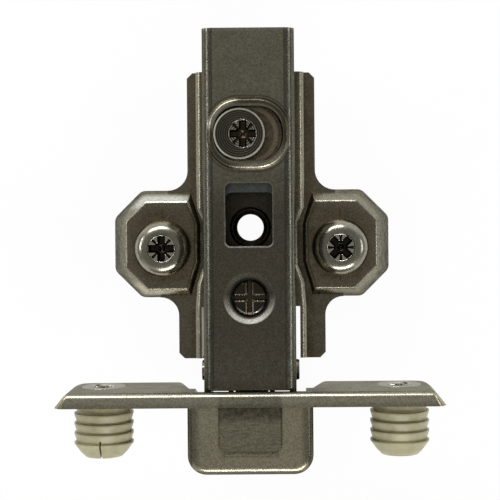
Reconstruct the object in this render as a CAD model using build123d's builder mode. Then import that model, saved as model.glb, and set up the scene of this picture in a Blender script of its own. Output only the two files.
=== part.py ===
"""Concealed cup hinge with its cross mounting plate, as a set of separate pieces.

Millimetres. +Z points away from the cabinet side, +Y towards the back of the cabinet and +X along the
door's edge. The origin is on the plate's underside, midway between its two screws. The hinge is closed.
"""

import os
from math import acos, atan2, degrees, hypot, sqrt

from build123d import *

os.makedirs("parts", exist_ok=True)


def keep(block, name):
    """Label the finished piece and write it to parts/."""
    block.part.label = name
    export_step(block.part, f"parts/{name}.step")


# ---------------------------------------------------------------- driving dimensions
# mounting plate
plate_sheet = 1.1
rail_half = 9.55
rail_foot_half = 9.8
rail_waist_half = 8.4
rail_waist_front = -2.6
rail_waist_back = 4.4
rail_step_front = -6.0
rail_step_back = 7.0
rail_height = 8.0
rail_bend = 1.1
notch_back = -10.2
rail_back_end = 31.15
rail_front_end = -19.3
back_foot_half = 11.58
back_foot_end = 31.7
front_foot_half = 13.3
front_foot_end = -20.1
foot_chamfer = 1.0
back_gusset = 3.6
front_gusset = 3.3
wing_half = 24.9
wing_back = 10.4
wing_front = -9.0
wing_cut = 4.9
wing_root = 9.2
wing_height = 3.2
wing_lip = 0.4
wing_skirt = 2.35
wing_back_skirt = 2.0
wing_front_skirt = 1.5
wing_cut_skirt = 2.1
wing_root_skirt = 0.5
wing_shoulder = 1.7
wing_corner = 1.8
wing_bend = 0.8
cavity_base_inset = 1.23
cavity_top_inset = 0.55
collar_y = 3.7
collar_radius = 3.6
collar_rim = 0.45
collar_height = 0.6
collar_bore = 2.33
collar_sink = 3.05

# screws in the plate
screw_spacing = 32.0
screw_head_radius = 5.05
screw_head_height = 2.7
screw_rim = 0.7
screw_shank_radius = 3.15
screw_neck_radius = 2.6
screw_neck_end = -0.4
screw_length = 11.5
screw_tip = 1.6
screw_point_radius = 1.1
screw_crown_radius = 2.9
screw_dome_rise = 0.35
screw_foot_step = 0.25
screw_recess = 2.4
recess_rim = 2.6
recess_reach = 2.4
recess_wing = 1.25
recess_core = 1.25
recess_tick = 0.2
recess_rim_share = 0.1
recess_wing_share = 0.85
recess_rim_taper = 35
recess_wing_taper = 9
recess_core_taper = 30

# arm
arm_sheet = 1.2
arm_half = 7.9
arm_top = 16.0
arm_bottom = 9.4
arm_bend = 1.7
arm_back = 37.8
arm_front = -23.9
nose_drop = 0.55
arm_front_round = 0.4
arm_heel = 8.5
arm_heel_front = 29.5
arm_heel_slope = 1.5
cheek_back = -15.6
arm_eye_radius = 3.0
slot_y = 19.8
slot_half = 5.92
slot_long = 9.4
slot_corner = 4.2
rim_half = 7.05
rim_long = 12.4
rim_corner = 5.4
rim_rise = 0.5
rim_slope = 0.45
rim_round = 0.3
crease_front = 25.9
crease_back = 27.2
crease_half = 2.95
crease_depth = 0.15
window_half = 4.0
window_front = 0.65
window_back = 11.4
window_corner = 0.9
side_screw_y = -8.15
dimple_radius = 4.4
dimple_foot = 3.65
dimple_depth = 0.7
ledge_depth = 0.35
side_hole_radius = 3.15
collar_drop = 1.3
dimple_sheet = 0.3

# carrier between arm and plate
carrier_half = 6.35
carrier_top = 12.2
carrier_sheet = 1.2
carrier_back = 36.6
carrier_front = -13.6
carrier_hook_half = 4.0
hook_bottom = 5.4
hook_reach = 6.0
carrier_window_half = 4.4
carrier_window_front = -0.6
carrier_window_back = 9.87
carrier_window_corner = 1.5
carrier_slot_gap = 0.2
depth_travel = 1.4
tilt_y = 33.0
tilt_z = 10.7
tilt_stub_radius = 1.2
tilt_stub_half = 7.8
tilt_stub_root = 0.5

# cam screw
cam_y = 19.76
cam_throw = 1.5
recess_offset = 0.6
cam_radius = 4.34
cam_top = 17.0
cam_disc = 2.2
cam_edge = 0.25
cam_recess = 2.0
cam_rivet_radius = 3.5
cam_rivet = 1.0
cam_shank_radius = 2.4
washer_radius = 5.7
washer_thickness = 1.0
washer_ring_outer = 5.1
washer_ring_inner = 4.3
washer_ring = 0.25

# side screw
side_screw_radius = 2.95
side_screw_top = 15.1
side_neck_radius = 1.7
side_slot_width = 0.95
side_slot_depth = 1.1
side_screw_edge = 0.3
side_collar_radius = 2.8
side_collar = 1.1

# pivots, as (Y, Z)
pin_radius = 1.3
pin_head_radius = 1.83
pin_head = 0.53
pin_head_taper = 15
arm_outer = (-33.5, 12.9)
arm_inner = (-21.0, 10.4)
cup_outer = (-32.4, -2.6)
cup_inner = (-30.2, -5.8)
nose_radius = 2.3

# links
link_eye_radius = 2.2
link_sheet = 1.1
outer_link_half = 6.3
outer_link_bow = 2.0
outer_link_width = 3.0
inner_link_half = 2.85
inner_link_bow = 1.2
inner_link_width = 3.0
open_eye_radius = 2.45
open_eye_wall = 1.0

# closing spring
wire_sides = 8
wire_corner = 0.468
coil_radius = 2.2
coil_inner_x = 3.65
coil_outer_x = 5.95
coil_turns = 2
spring_bight = (-15.3, 14.25)
spring_leg = 7.0

# cup
flange_y = -24.0
flange_sheet = 1.3
flange_skirt = 2.5
flange_half = 33.27
flange_near = 17.5
flange_far = 3.2
flange_corner = 5.5
flange_near_corner = 1.8
flange_bend = 1.0
ear_foot_corner = 1.5
mouth_half = 10.0
mouth_near = 16.1
pocket_half = 10.7
pocket_near = 17.0
pocket_far = -14.4
pocket_floor = -38.1
pocket_sheet = 1.15
pocket_corner = 3.3
pocket_bend = 1.4
rim_far_y = -28.8
ear_root_far = 12.3
ear_root_z = 12.0
ear_root_drop = 2.4
mouth_lip = 0.3
field_half = 5.45
field_floor = -34.7
field_depth = 0.4
field_corner = 1.8
field_taper = 40

# dowels
dowel_spacing = 52.0
dowel_z = 8.1
dowel_radius = 5.17
dowel_valley = 4.7
dowel_tip_y = -36.1
dowel_land = 0.25
dowel_first = -28.7
dowel_pitch = 1.71
dowel_barbs = 4
dowel_tip_radius = 4.0
dowel_tip_round = 0.7
dowel_split = 0.3
dowel_split_length = 3.2
dowel_screw_head = 3.9
dowel_screw_radius = 1.75
dowel_screw_tip_y = -35.0
dowel_screw_point = 2.0
dowel_screw_point_radius = 0.3
dowel_screw_recess = 1.9

# fits
running = 0.05
seat = 0.02
clear = 0.3
over = 1.0


# ---------------------------------------------------------------- mounting plate
rail_points = [
    (rail_foot_half, rail_front_end),
    (rail_foot_half, notch_back),
    (rail_half, rail_step_front),
    (rail_waist_half, rail_waist_front),
    (rail_waist_half, rail_waist_back),
    (rail_half, rail_step_back),
    (rail_half, rail_back_end),
]


def rail_outline(inset, overrun):
    """Closed outline of the rail in plan, pulled in by inset and run past both ends by overrun."""
    side = [(x - inset, y) for x, y in rail_points]
    side[0] = (side[0][0], side[0][1] - overrun)
    side[-1] = (side[-1][0], side[-1][1] + overrun)
    return side + [(-x, y) for x, y in reversed(side)]


def wing_outline(side, back, front, cut, root):
    """Outline of one wing, its sides pulled in: outer side, back, front, cut corners, side by the rail."""
    far = wing_half - side
    slant = cut * sqrt(2) + wing_cut
    shoulder = wing_root + wing_shoulder + root
    return [
        (shoulder, wing_front + front),
        (wing_half - slant + front, wing_front + front),
        (far, wing_front + slant - side),
        (far, wing_back - slant + side),
        (wing_half - slant + back, wing_back - back),
        (shoulder, wing_back - back),
        (wing_root + root, rail_waist_back),
        (wing_root + root, rail_waist_front),
    ]


wing_base = wing_outline(0, 0, 0, 0, 0)
wing_top = wing_outline(
    wing_skirt, wing_back_skirt, wing_front_skirt, wing_cut_skirt, wing_root_skirt
)


def wing_section(height, outline, radius, inset):
    """One level of a wing: its outline with rounded outer corners, pulled in by inset."""
    with BuildSketch(Plane.XY.offset(height)) as section:
        with BuildLine():
            Polyline(*outline, close=True)
        make_face()
        outer = section.vertices().group_by(Axis.X)[-2:]
        fillet(outer[0] + outer[1], radius)
        if inset:
            offset(amount=-inset, kind=Kind.INTERSECTION)
    return section.sketch


with BuildPart() as wing_form:
    add(wing_section(wing_lip, wing_base, wing_corner, 0))
    add(wing_section(wing_height, wing_top, wing_corner / 2, 0))
    loft(ruled=True)
    with BuildSketch():
        add(wing_section(0, wing_base, wing_corner, 0))
    extrude(amount=wing_lip)
    bends = wing_form.edges().filter_by_position(Axis.Z, wing_height - 0.01, wing_height + 0.01)
    fillet(bends, wing_bend)

with BuildPart() as wing_cavity:
    add(wing_section(0, wing_base, wing_corner, cavity_base_inset))
    add(wing_section(wing_height - plate_sheet, wing_top, wing_corner / 2, cavity_top_inset))
    loft(ruled=True)

with BuildPart() as mounting_plate:
    # feet, with the concave corners that lead into the wings
    with BuildSketch():
        with BuildLine():
            Polyline(
                (-back_foot_half, 0),
                (-back_foot_half, back_foot_end),
                (back_foot_half, back_foot_end),
                (back_foot_half, 0),
                (front_foot_half, 0),
                (front_foot_half, front_foot_end),
                (-front_foot_half, front_foot_end),
                (-front_foot_half, 0),
                close=True,
            )
        make_face()
    extrude(amount=plate_sheet)
    ends = mounting_plate.edges().filter_by(Axis.Z).group_by(Axis.Y)
    chamfer(ends[0] + ends[-1], foot_chamfer)
    for side in (1, -1):
        with BuildSketch():
            for edge, foot, radius, way in (
                (wing_back, back_foot_half, back_gusset, 1),
                (wing_front, front_foot_half, front_gusset, -1),
            ):
                with Locations((side * (foot + radius / 2), edge + way * radius / 2)):
                    Rectangle(radius, radius)
                with Locations((side * (foot + radius), edge + way * radius)):
                    Circle(radius, mode=Mode.SUBTRACT)
                with Locations((side * (foot + radius / 2), edge - way * wing_skirt / 4)):
                    Rectangle(radius, wing_skirt / 2)
        extrude(amount=plate_sheet)
    # wings and rail
    add(wing_form.part)
    add(mirror(wing_form.part, about=Plane.YZ))
    with BuildSketch():
        with BuildLine():
            Polyline(*rail_outline(0, 0), close=True)
        make_face()
    extrude(amount=rail_height)
    crown = mounting_plate.edges().filter_by_position(Axis.Z, rail_height - 0.01, rail_height + 0.01)
    fillet(crown.filter_by(lambda e: abs((e % 0.5).Y) > 0.5), rail_bend)
    # the raised collar round the centre hole
    with BuildSketch(Plane.XY.offset(rail_height)):
        with Locations((0, collar_y)):
            Circle(collar_radius)
    extrude(amount=collar_height)
    collar_top = rail_height + collar_height
    collar_edges = mounting_plate.edges().filter_by(GeomType.CIRCLE)
    fillet(collar_edges.filter_by_position(Axis.Z, collar_top - 0.01, collar_top + 0.01), collar_rim)
    # underside of the pressing
    add(wing_cavity.part, mode=Mode.SUBTRACT)
    add(mirror(wing_cavity.part, about=Plane.YZ), mode=Mode.SUBTRACT)
    with BuildSketch():
        with BuildLine():
            Polyline(*rail_outline(plate_sheet, 1), close=True)
        make_face()
    extrude(amount=rail_height - plate_sheet, mode=Mode.SUBTRACT)
    # the front is notched down to its two side rails
    with BuildSketch():
        with Locations((0, notch_back)):
            Rectangle(
                2 * (rail_foot_half - plate_sheet),
                notch_back - front_foot_end + over,
                align=(Align.CENTER, Align.MAX),
            )
    extrude(amount=rail_height + over, mode=Mode.SUBTRACT)
    # holes
    with Locations((0, collar_y, rail_height + collar_height)):
        CounterSinkHole(collar_bore, collar_sink, collar_height + plate_sheet + over)
    with Locations((0, cam_y, rail_height)):
        Hole(cam_shank_radius + running)
    with Locations((-screw_spacing / 2, 0, wing_height), (screw_spacing / 2, 0, wing_height)):
        Hole(screw_neck_radius + clear)
keep(mounting_plate, "mounting_plate")


# ---------------------------------------------------------------- screws
def cross_recess(plane, depth, turn, ticks=True):
    """Cross recess: a shallow dished rim, four wings round an open core, and ticks between the wings."""
    rim_depth = recess_rim_share * depth
    wing_depth = recess_wing_share * depth
    with BuildPart() as recess:
        with BuildSketch(plane):
            Circle(recess_rim)
        extrude(amount=-rim_depth, taper=recess_rim_taper)
        with BuildSketch(plane.rotated((0, 0, turn))):
            Rectangle(2 * recess_reach, recess_wing)
            Rectangle(recess_wing, 2 * recess_reach)
            Circle(recess_core)
        extrude(amount=-wing_depth, taper=recess_wing_taper)
        if ticks:
            with BuildSketch(plane.rotated((0, 0, turn + 45))):
                Rectangle(2 * recess_reach, recess_tick)
                Rectangle(recess_tick, 2 * recess_reach)
            extrude(amount=-2 * rim_depth)
        with BuildSketch(plane.offset(rim_depth - wing_depth)):
            Circle(recess_core / 2)
        extrude(amount=wing_depth - rim_depth - depth, taper=recess_core_taper)
    return recess.part


for name, side, turn in (("wing_screw_left", -1, 0), ("wing_screw_right", 1, 45)):
    screw_x = side * screw_spacing / 2
    rim_top = (screw_head_radius, wing_height + screw_rim)
    crown = (screw_crown_radius, wing_height + screw_head_height)
    dome = (
        (crown[0] + rim_top[0]) / 2 + screw_dome_rise,
        (crown[1] + rim_top[1]) / 2 + screw_dome_rise,
    )
    with BuildPart() as wing_screw:
        with BuildSketch(Plane.XZ):
            with BuildLine():
                Polyline((0, crown[1]), crown)
                ThreePointArc(crown, dome, rim_top)
                Polyline(
                    rim_top,
                    (screw_head_radius - screw_foot_step, wing_height),
                    (screw_neck_radius, wing_height),
                    (screw_neck_radius, screw_neck_end),
                    (screw_shank_radius, screw_neck_end),
                    (screw_shank_radius, wing_height - screw_length + screw_tip),
                    (screw_point_radius, wing_height - screw_length),
                    (0, wing_height - screw_length),
                    (0, crown[1]),
                )
            make_face()
        revolve(axis=Axis.Z)
        add(cross_recess(Plane.XY.offset(crown[1]), screw_recess, turn), mode=Mode.SUBTRACT)
    wing_screw.part = wing_screw.part.moved(Pos(screw_x, 0, 0))
    keep(wing_screw, name)

with BuildPart() as cam_screw:
    # rivet foot under the rail, shank through rail and carrier
    rivet_top = rail_height - plate_sheet
    with BuildSketch(Plane.XY.offset(rivet_top)):
        with Locations((0, cam_y)):
            Circle(cam_rivet_radius)
    extrude(amount=-cam_rivet)
    with BuildSketch(Plane.XY.offset(rivet_top)):
        with Locations((0, cam_y)):
            Circle(cam_shank_radius)
    extrude(amount=cam_top - cam_disc - rivet_top)
    # eccentric head that works in the arm's cross slot
    with BuildSketch(Plane.XY.offset(cam_top - cam_disc)):
        with Locations((-cam_throw, cam_y)):
            Circle(cam_radius)
    extrude(amount=cam_disc)
    rims = cam_screw.edges().filter_by(GeomType.CIRCLE).group_by(Axis.Z)[-1]
    chamfer(rims, cam_edge)
    with Locations(Pos(recess_offset - cam_throw, cam_y, cam_top)):
        add(cross_recess(Plane.XY, cam_recess, 0), mode=Mode.SUBTRACT)
keep(cam_screw, "cam_screw")

with BuildPart() as cam_washer:
    with BuildSketch(Plane.XY.offset(carrier_top + running)):
        with Locations((0, cam_y)):
            Circle(washer_radius)
            Circle(cam_shank_radius + running, mode=Mode.SUBTRACT)
    extrude(amount=washer_thickness)
    with BuildSketch(Plane.XY.offset(carrier_top + running + washer_thickness)):
        with Locations((0, cam_y)):
            Circle(washer_ring_outer)
            Circle(washer_ring_inner, mode=Mode.SUBTRACT)
    extrude(amount=washer_ring)
keep(cam_washer, "cam_washer")

with BuildPart() as side_screw:
    # cross-slotted head, flush in the arm's dished hole
    with BuildSketch(Plane.XY.offset(side_screw_top)):
        with Locations((0, side_screw_y)):
            Circle(side_screw_radius)
    extrude(amount=-(side_screw_top - carrier_top - clear))
    rims = side_screw.edges().filter_by(GeomType.CIRCLE).group_by(Axis.Z)[-1]
    chamfer(rims, side_screw_edge)
    with BuildSketch(Plane.XY.offset(side_screw_top)):
        with Locations((0, side_screw_y)):
            Rectangle(2 * side_screw_radius, side_slot_width)
            Rectangle(side_slot_width, 2 * side_screw_radius)
            Circle(side_slot_width)
    extrude(amount=-side_slot_depth, mode=Mode.SUBTRACT)
    # neck in the carrier's keyhole and the collar below it
    with BuildSketch(Plane.XY.offset(carrier_top + clear)):
        with Locations((0, side_screw_y)):
            Circle(side_neck_radius)
    extrude(amount=-(carrier_sheet + 2 * clear))
    with BuildSketch(Plane.XY.offset(carrier_top - carrier_sheet - clear)):
        with Locations((0, side_screw_y)):
            Circle(side_collar_radius)
    extrude(amount=-side_collar)
keep(side_screw, "side_screw")


# ---------------------------------------------------------------- arm
with BuildPart() as arm:
    # side outline: straight back, cheeks that dip to the inner pivot and reach the outer one
    with BuildSketch(Plane.YZ.offset(-arm_half)):
        with BuildLine():
            Polyline(
                (arm_back, arm_heel),
                (arm_back, arm_top),
                (arm_front, arm_top),
                (arm_front, arm_bottom),
                (arm_heel_front - arm_heel_slope, arm_bottom),
                (arm_heel_front, arm_heel),
                close=True,
            )
        make_face()
        with BuildLine():
            Polyline(
                (arm_front, arm_top - nose_drop),
                (arm_outer[0], arm_outer[1] + nose_radius),
                (arm_outer[0], arm_outer[1] - nose_radius),
                (arm_inner[0], arm_inner[1] - arm_eye_radius),
                (cheek_back, arm_bottom),
                (cheek_back, arm_top - nose_drop),
                close=True,
            )
        make_face()
        with Locations(arm_outer):
            Circle(nose_radius)
        with Locations(arm_inner):
            Circle(arm_eye_radius)
    extrude(amount=2 * arm_half)
    crown = arm.edges().filter_by(Axis.Y).filter_by_position(Axis.Z, arm_top - 0.01, arm_top + 0.01)
    fillet(crown, arm_bend)
    front = arm.edges().filter_by(Axis.X).filter_by_position(Axis.Z, arm_top - 0.01, arm_top + 0.01)
    fillet(front.sort_by(Axis.Y)[0], arm_front_round)
    # hollow between the cheeks
    with BuildSketch(Plane.XZ.offset(-arm_back)) as hollow:
        Rectangle(2 * (arm_half - arm_sheet), arm_top - arm_sheet, align=(Align.CENTER, Align.MIN))
        fillet(hollow.vertices().group_by(Axis.Z)[-1], arm_bend - arm_sheet)
    extrude(amount=arm_back - arm_front, mode=Mode.SUBTRACT)
    with BuildSketch(Plane.XZ.offset(-arm_front)):
        Rectangle(2 * (arm_half - arm_sheet), arm_top + over, align=(Align.CENTER, Align.MIN))
    extrude(amount=arm_front - arm_outer[0] + nose_radius + over, mode=Mode.SUBTRACT)
    # raised rim and opening of the cam slot, with the coined land behind it
    with BuildSketch(Plane.XY.offset(arm_top - arm_sheet / 4)):
        with Locations((0, slot_y)):
            RectangleRounded(2 * rim_half, rim_long, rim_corner)
    with BuildSketch(Plane.XY.offset(arm_top + rim_rise)):
        with Locations((0, slot_y)):
            RectangleRounded(
                2 * (rim_half - rim_slope), rim_long - 2 * rim_slope, rim_corner - rim_slope
            )
    loft()
    rim_edges = arm.edges().filter_by_position(
        Axis.Z, arm_top + rim_rise - 0.01, arm_top + rim_rise + 0.01
    )
    fillet(rim_edges, rim_round)
    with BuildSketch(Plane.XY.offset(arm_top)):
        with BuildLine():
            Polyline(
                (-crease_half, crease_back),
                (crease_half, crease_back),
                (crease_half / 2, crease_front),
                (-crease_half / 2, crease_front),
                close=True,
            )
        make_face()
    extrude(amount=-crease_depth, taper=45, mode=Mode.SUBTRACT)
    with BuildSketch(Plane.XY.offset(arm_top + rim_rise)):
        with Locations((0, slot_y)):
            RectangleRounded(2 * slot_half, slot_long, slot_corner)
    extrude(amount=-arm_sheet - rim_rise, mode=Mode.SUBTRACT)
    # window
    with BuildSketch(Plane.XY.offset(arm_top)):
        with Locations((0, (window_front + window_back) / 2)):
            RectangleRounded(2 * window_half, window_back - window_front, window_corner)
    extrude(amount=-arm_sheet, mode=Mode.SUBTRACT)
    # dished hole of the side screw, with its collar inside the arm
    with BuildSketch(Plane.XY.offset(arm_top - arm_sheet)):
        with Locations((0, side_screw_y)):
            Circle(dimple_radius + dimple_sheet)
    extrude(amount=-dimple_depth)
    with BuildSketch(Plane.XY.offset(arm_top - arm_sheet)):
        with Locations((0, side_screw_y)):
            Circle(side_hole_radius + arm_sheet / 2)
    extrude(amount=-collar_drop)
    with BuildSketch(Plane.XY.offset(arm_top)):
        with Locations((0, side_screw_y)):
            Circle(dimple_radius)
    with BuildSketch(Plane.XY.offset(arm_top - dimple_depth)):
        with Locations((0, side_screw_y)):
            Circle(dimple_foot)
    loft(mode=Mode.SUBTRACT)
    with BuildSketch(Plane.XY.offset(arm_top - dimple_depth)):
        with Locations((0, side_screw_y)):
            Circle(dimple_foot)
    extrude(amount=-ledge_depth, mode=Mode.SUBTRACT)
    with Locations((0, side_screw_y, arm_top)):
        Hole(side_hole_radius, depth=arm_sheet + collar_drop)
    # pivot holes in the cheeks and tilt holes in the heel
    for centre, radius in (
        (arm_outer, pin_radius + seat),
        (arm_inner, pin_radius + seat),
        ((tilt_y, tilt_z), tilt_stub_radius + running),
    ):
        with Locations((0, *centre)):
            Cylinder(radius, 2 * arm_half + 2 * over, rotation=(0, 90, 0), mode=Mode.SUBTRACT)
keep(arm, "arm")

with BuildPart() as carrier:
    with BuildSketch(Plane.XZ.offset(-carrier_back)) as section:
        with Locations((0, rail_height + running)):
            Rectangle(
                2 * carrier_half,
                carrier_top - rail_height - running,
                align=(Align.CENTER, Align.MIN),
            )
        fillet(section.vertices().group_by(Axis.Z)[-1], carrier_sheet)
        with Locations((0, rail_height)):
            Rectangle(
                2 * (carrier_half - carrier_sheet),
                carrier_top - carrier_sheet - rail_height,
                align=(Align.CENTER, Align.MIN),
                mode=Mode.SUBTRACT,
            )
    extrude(amount=carrier_back - notch_back)
    # tongue that reaches over the rail's front edge and hooks under it
    hook_y = carrier_front
    with BuildSketch(Plane.YZ.offset(-carrier_hook_half)):
        with BuildLine():
            Polyline(
                (notch_back + over, carrier_top),
                (hook_y, carrier_top),
                (hook_y, hook_bottom),
                (hook_y + hook_reach, hook_bottom),
                (hook_y + hook_reach, hook_bottom + carrier_sheet),
                (hook_y + carrier_sheet, hook_bottom + carrier_sheet),
                (hook_y + carrier_sheet, carrier_top - carrier_sheet),
                (notch_back + over, carrier_top - carrier_sheet),
                close=True,
            )
        make_face()
    extrude(amount=2 * carrier_hook_half)
    # tilt stubs pressed out of its sides
    for side in (1, -1):
        with BuildSketch(Plane.YZ.offset(side * (carrier_half - tilt_stub_root))):
            with Locations((tilt_y, tilt_z)):
                Circle(tilt_stub_radius)
        extrude(amount=side * (tilt_stub_half - carrier_half + tilt_stub_root))
    # window, cam slot and keyhole
    with BuildSketch(Plane.XY.offset(carrier_top)):
        with Locations((0, (carrier_window_front + carrier_window_back) / 2)):
            RectangleRounded(
                2 * carrier_window_half,
                carrier_window_back - carrier_window_front,
                carrier_window_corner,
            )
        with Locations((0, cam_y)):
            RectangleRounded(
                2 * (cam_shank_radius + carrier_slot_gap),
                2 * (cam_shank_radius + depth_travel + clear),
                cam_shank_radius,
            )
        with Locations((0, side_screw_y)):
            Circle(side_neck_radius + running)
    extrude(amount=-carrier_sheet, mode=Mode.SUBTRACT)
keep(carrier, "carrier")


# ---------------------------------------------------------------- linkage
def cross_pin(name, centre, half, head_radius, head):
    """Pivot pin along X with a low riveted head at each end."""
    with BuildPart() as pin:
        with BuildSketch(Plane.YZ.offset(-half)):
            with Locations(centre):
                Circle(pin_radius)
        extrude(amount=2 * half)
        if head:
            for side in (1, -1):
                with BuildSketch(Plane.YZ.offset(side * half)):
                    with Locations(centre):
                        Circle(head_radius)
                extrude(amount=side * head, taper=pin_head_taper)
    keep(pin, name)


cross_pin("arm_pin_outer", arm_outer, arm_half, pin_head_radius, pin_head / 2)
cross_pin("arm_pin_inner", arm_inner, arm_half, pin_head_radius, pin_head)
cross_pin("cup_pin_outer", cup_outer, pocket_half, pin_radius, 0)
cross_pin("cup_pin_inner", cup_inner, pocket_half, pin_radius, 0)


def bowed_arc(start, end, bow):
    """Middle point and centre of the arc from start to end that bows sideways by bow."""
    dy, dz = end[0] - start[0], end[1] - start[1]
    length = hypot(dy, dz)
    normal = (-dz / length, dy / length)
    middle = ((start[0] + end[0]) / 2, (start[1] + end[1]) / 2)
    reach = (length * length / 4 - bow * bow) / (2 * bow)
    on_arc = (middle[0] + bow * normal[0], middle[1] + bow * normal[1])
    centre = (middle[0] - reach * normal[0], middle[1] - reach * normal[1])
    return on_arc, centre


with BuildPart() as outer_link:
    link_middle, link_centre = bowed_arc(arm_outer, cup_outer, -outer_link_bow)
    with BuildSketch(Plane.YZ.offset(-outer_link_half)):
        with BuildLine():
            ThreePointArc(arm_outer, link_middle, cup_outer)
        trace(line_width=outer_link_width)
        with Locations(arm_outer, cup_outer):
            Circle(link_eye_radius)
    extrude(amount=2 * outer_link_half)
    # open towards the inner link: two side plates joined by a web outside the bend
    arc_radius = hypot(arm_outer[0] - link_centre[0], arm_outer[1] - link_centre[1])
    with BuildSketch(Plane.YZ.offset(-outer_link_half + link_sheet)):
        with Locations(link_centre):
            Circle(arc_radius + outer_link_width / 2 - link_sheet)
        with Locations(arm_outer, cup_outer):
            Circle(link_eye_radius + clear)
    extrude(amount=2 * (outer_link_half - link_sheet), mode=Mode.SUBTRACT)
    with Locations((0, *arm_outer), (0, *cup_outer)):
        Cylinder(
            pin_radius + running,
            2 * outer_link_half,
            rotation=(0, 90, 0),
            mode=Mode.SUBTRACT,
        )
keep(outer_link, "outer_link")

with BuildPart() as inner_link:
    link_middle, link_centre = bowed_arc(cup_inner, arm_inner, inner_link_bow)
    with BuildSketch(Plane.YZ.offset(-inner_link_half)):
        with BuildLine():
            ThreePointArc(cup_inner, link_middle, arm_inner)
        trace(line_width=inner_link_width)
        with Locations(cup_inner):
            Circle(link_eye_radius)
        with Locations(arm_inner):
            Circle(open_eye_radius + open_eye_wall)
    extrude(amount=2 * inner_link_half)
    for centre, radius in ((cup_inner, pin_radius + running), (arm_inner, open_eye_radius)):
        with Locations((0, *centre)):
            Cylinder(radius, 2 * inner_link_half, rotation=(0, 90, 0), mode=Mode.SUBTRACT)
keep(inner_link, "inner_link")

with BuildPart() as closing_spring:
    # one coil beside the inner link: its free leg follows the link, the other runs under the arm
    run = hypot(cup_inner[0] - arm_inner[0], cup_inner[1] - arm_inner[1])
    leg_way = ((cup_inner[0] - arm_inner[0]) / run, (cup_inner[1] - arm_inner[1]) / run)
    bight_way = (spring_bight[0] - arm_inner[0], spring_bight[1] - arm_inner[1])
    leg_angle = atan2(-leg_way[0], leg_way[1])
    bight_angle = atan2(bight_way[1], bight_way[0]) + acos(coil_radius / hypot(*bight_way))
    turns = degrees(leg_angle - bight_angle) / 360 + coil_turns
    coil_length = coil_outer_x - coil_inner_x
    coil_plane = Plane(
        (coil_inner_x, *arm_inner), x_dir=(0, leg_way[1], -leg_way[0]), z_dir=(1, 0, 0)
    )
    coil = Helix(coil_length / turns, coil_length, coil_radius, lefthand=True)
    coil = coil.moved(Location(coil_plane))
    leg_end = coil @ 0 + Vector(0, *leg_way) * spring_leg
    corner = Vector(coil_outer_x, *spring_bight)
    legs = [Edge.make_line(leg_end, coil @ 0), Edge.make_line(coil @ 1, corner)]
    with BuildSketch(Plane(leg_end, z_dir=coil @ 0 - leg_end)):
        RegularPolygon(wire_corner, wire_sides)
    sweep(path=Wire([legs[0], coil.edge(), legs[1]]), transition=Transition.TRANSFORMED)
    with BuildSketch(Plane(corner, z_dir=(-1, 0, 0))):
        RegularPolygon(wire_corner, wire_sides)
    extrude(amount=coil_outer_x)
    with Locations(corner):
        Sphere(wire_corner)
    # its twin on the other side of the link
    mirror(about=Plane.YZ)
keep(closing_spring, "closing_spring")

# ---------------------------------------------------------------- cup
with BuildPart() as flange_form:
    # shallow tray, its outline rounded over
    with BuildSketch(Plane.XZ.offset(-flange_y)) as flange:
        with BuildLine():
            Polyline(
                (0, flange_near),
                (flange_half, flange_near),
                (flange_half, flange_far),
                (ear_root_far, flange_far),
                (mouth_half, ear_root_z),
                (mouth_half, mouth_near),
                (0, mouth_near),
                close=True,
            )
        make_face()
        mirror(about=Plane.YZ)
        tips = flange.vertices().filter_by(lambda v: abs(v.X) > flange_half - 0.1)
        fillet(tips.filter_by(lambda v: v.Y < flange_far + 0.1), flange_corner)
        tips = flange.vertices().filter_by(lambda v: v.Y > flange_near - 0.1)
        fillet(tips, flange_near_corner)
        feet = flange.vertices().filter_by(lambda v: abs(abs(v.X) - ear_root_far) < 0.1)
        fillet(feet.filter_by(lambda v: v.Y < flange_far + 0.1), ear_foot_corner)
    extrude(amount=flange_skirt)
    rim = flange_form.edges().filter_by_position(Axis.Y, flange_y - 0.01, flange_y + 0.01)
    mouth_rim = rim.filter_by(lambda e: (e @ 0.5).Z < flange_near - 0.1)
    mouth_rim = mouth_rim.filter_by(lambda e: abs((e @ 0.5).X) < mouth_half + 0.1)
    fillet(rim - mouth_rim, flange_bend)
    for side in (1, -1):
        with BuildSketch(Plane.XZ.offset(-flange_y + flange_sheet)):
            with Locations((side * pocket_half, flange_near - flange_sheet)):
                Rectangle(
                    flange_half - flange_sheet - pocket_half,
                    flange_near - flange_far,
                    align=(Align.MIN if side > 0 else Align.MAX, Align.MAX),
                )
        extrude(amount=flange_skirt, mode=Mode.SUBTRACT)

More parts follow.
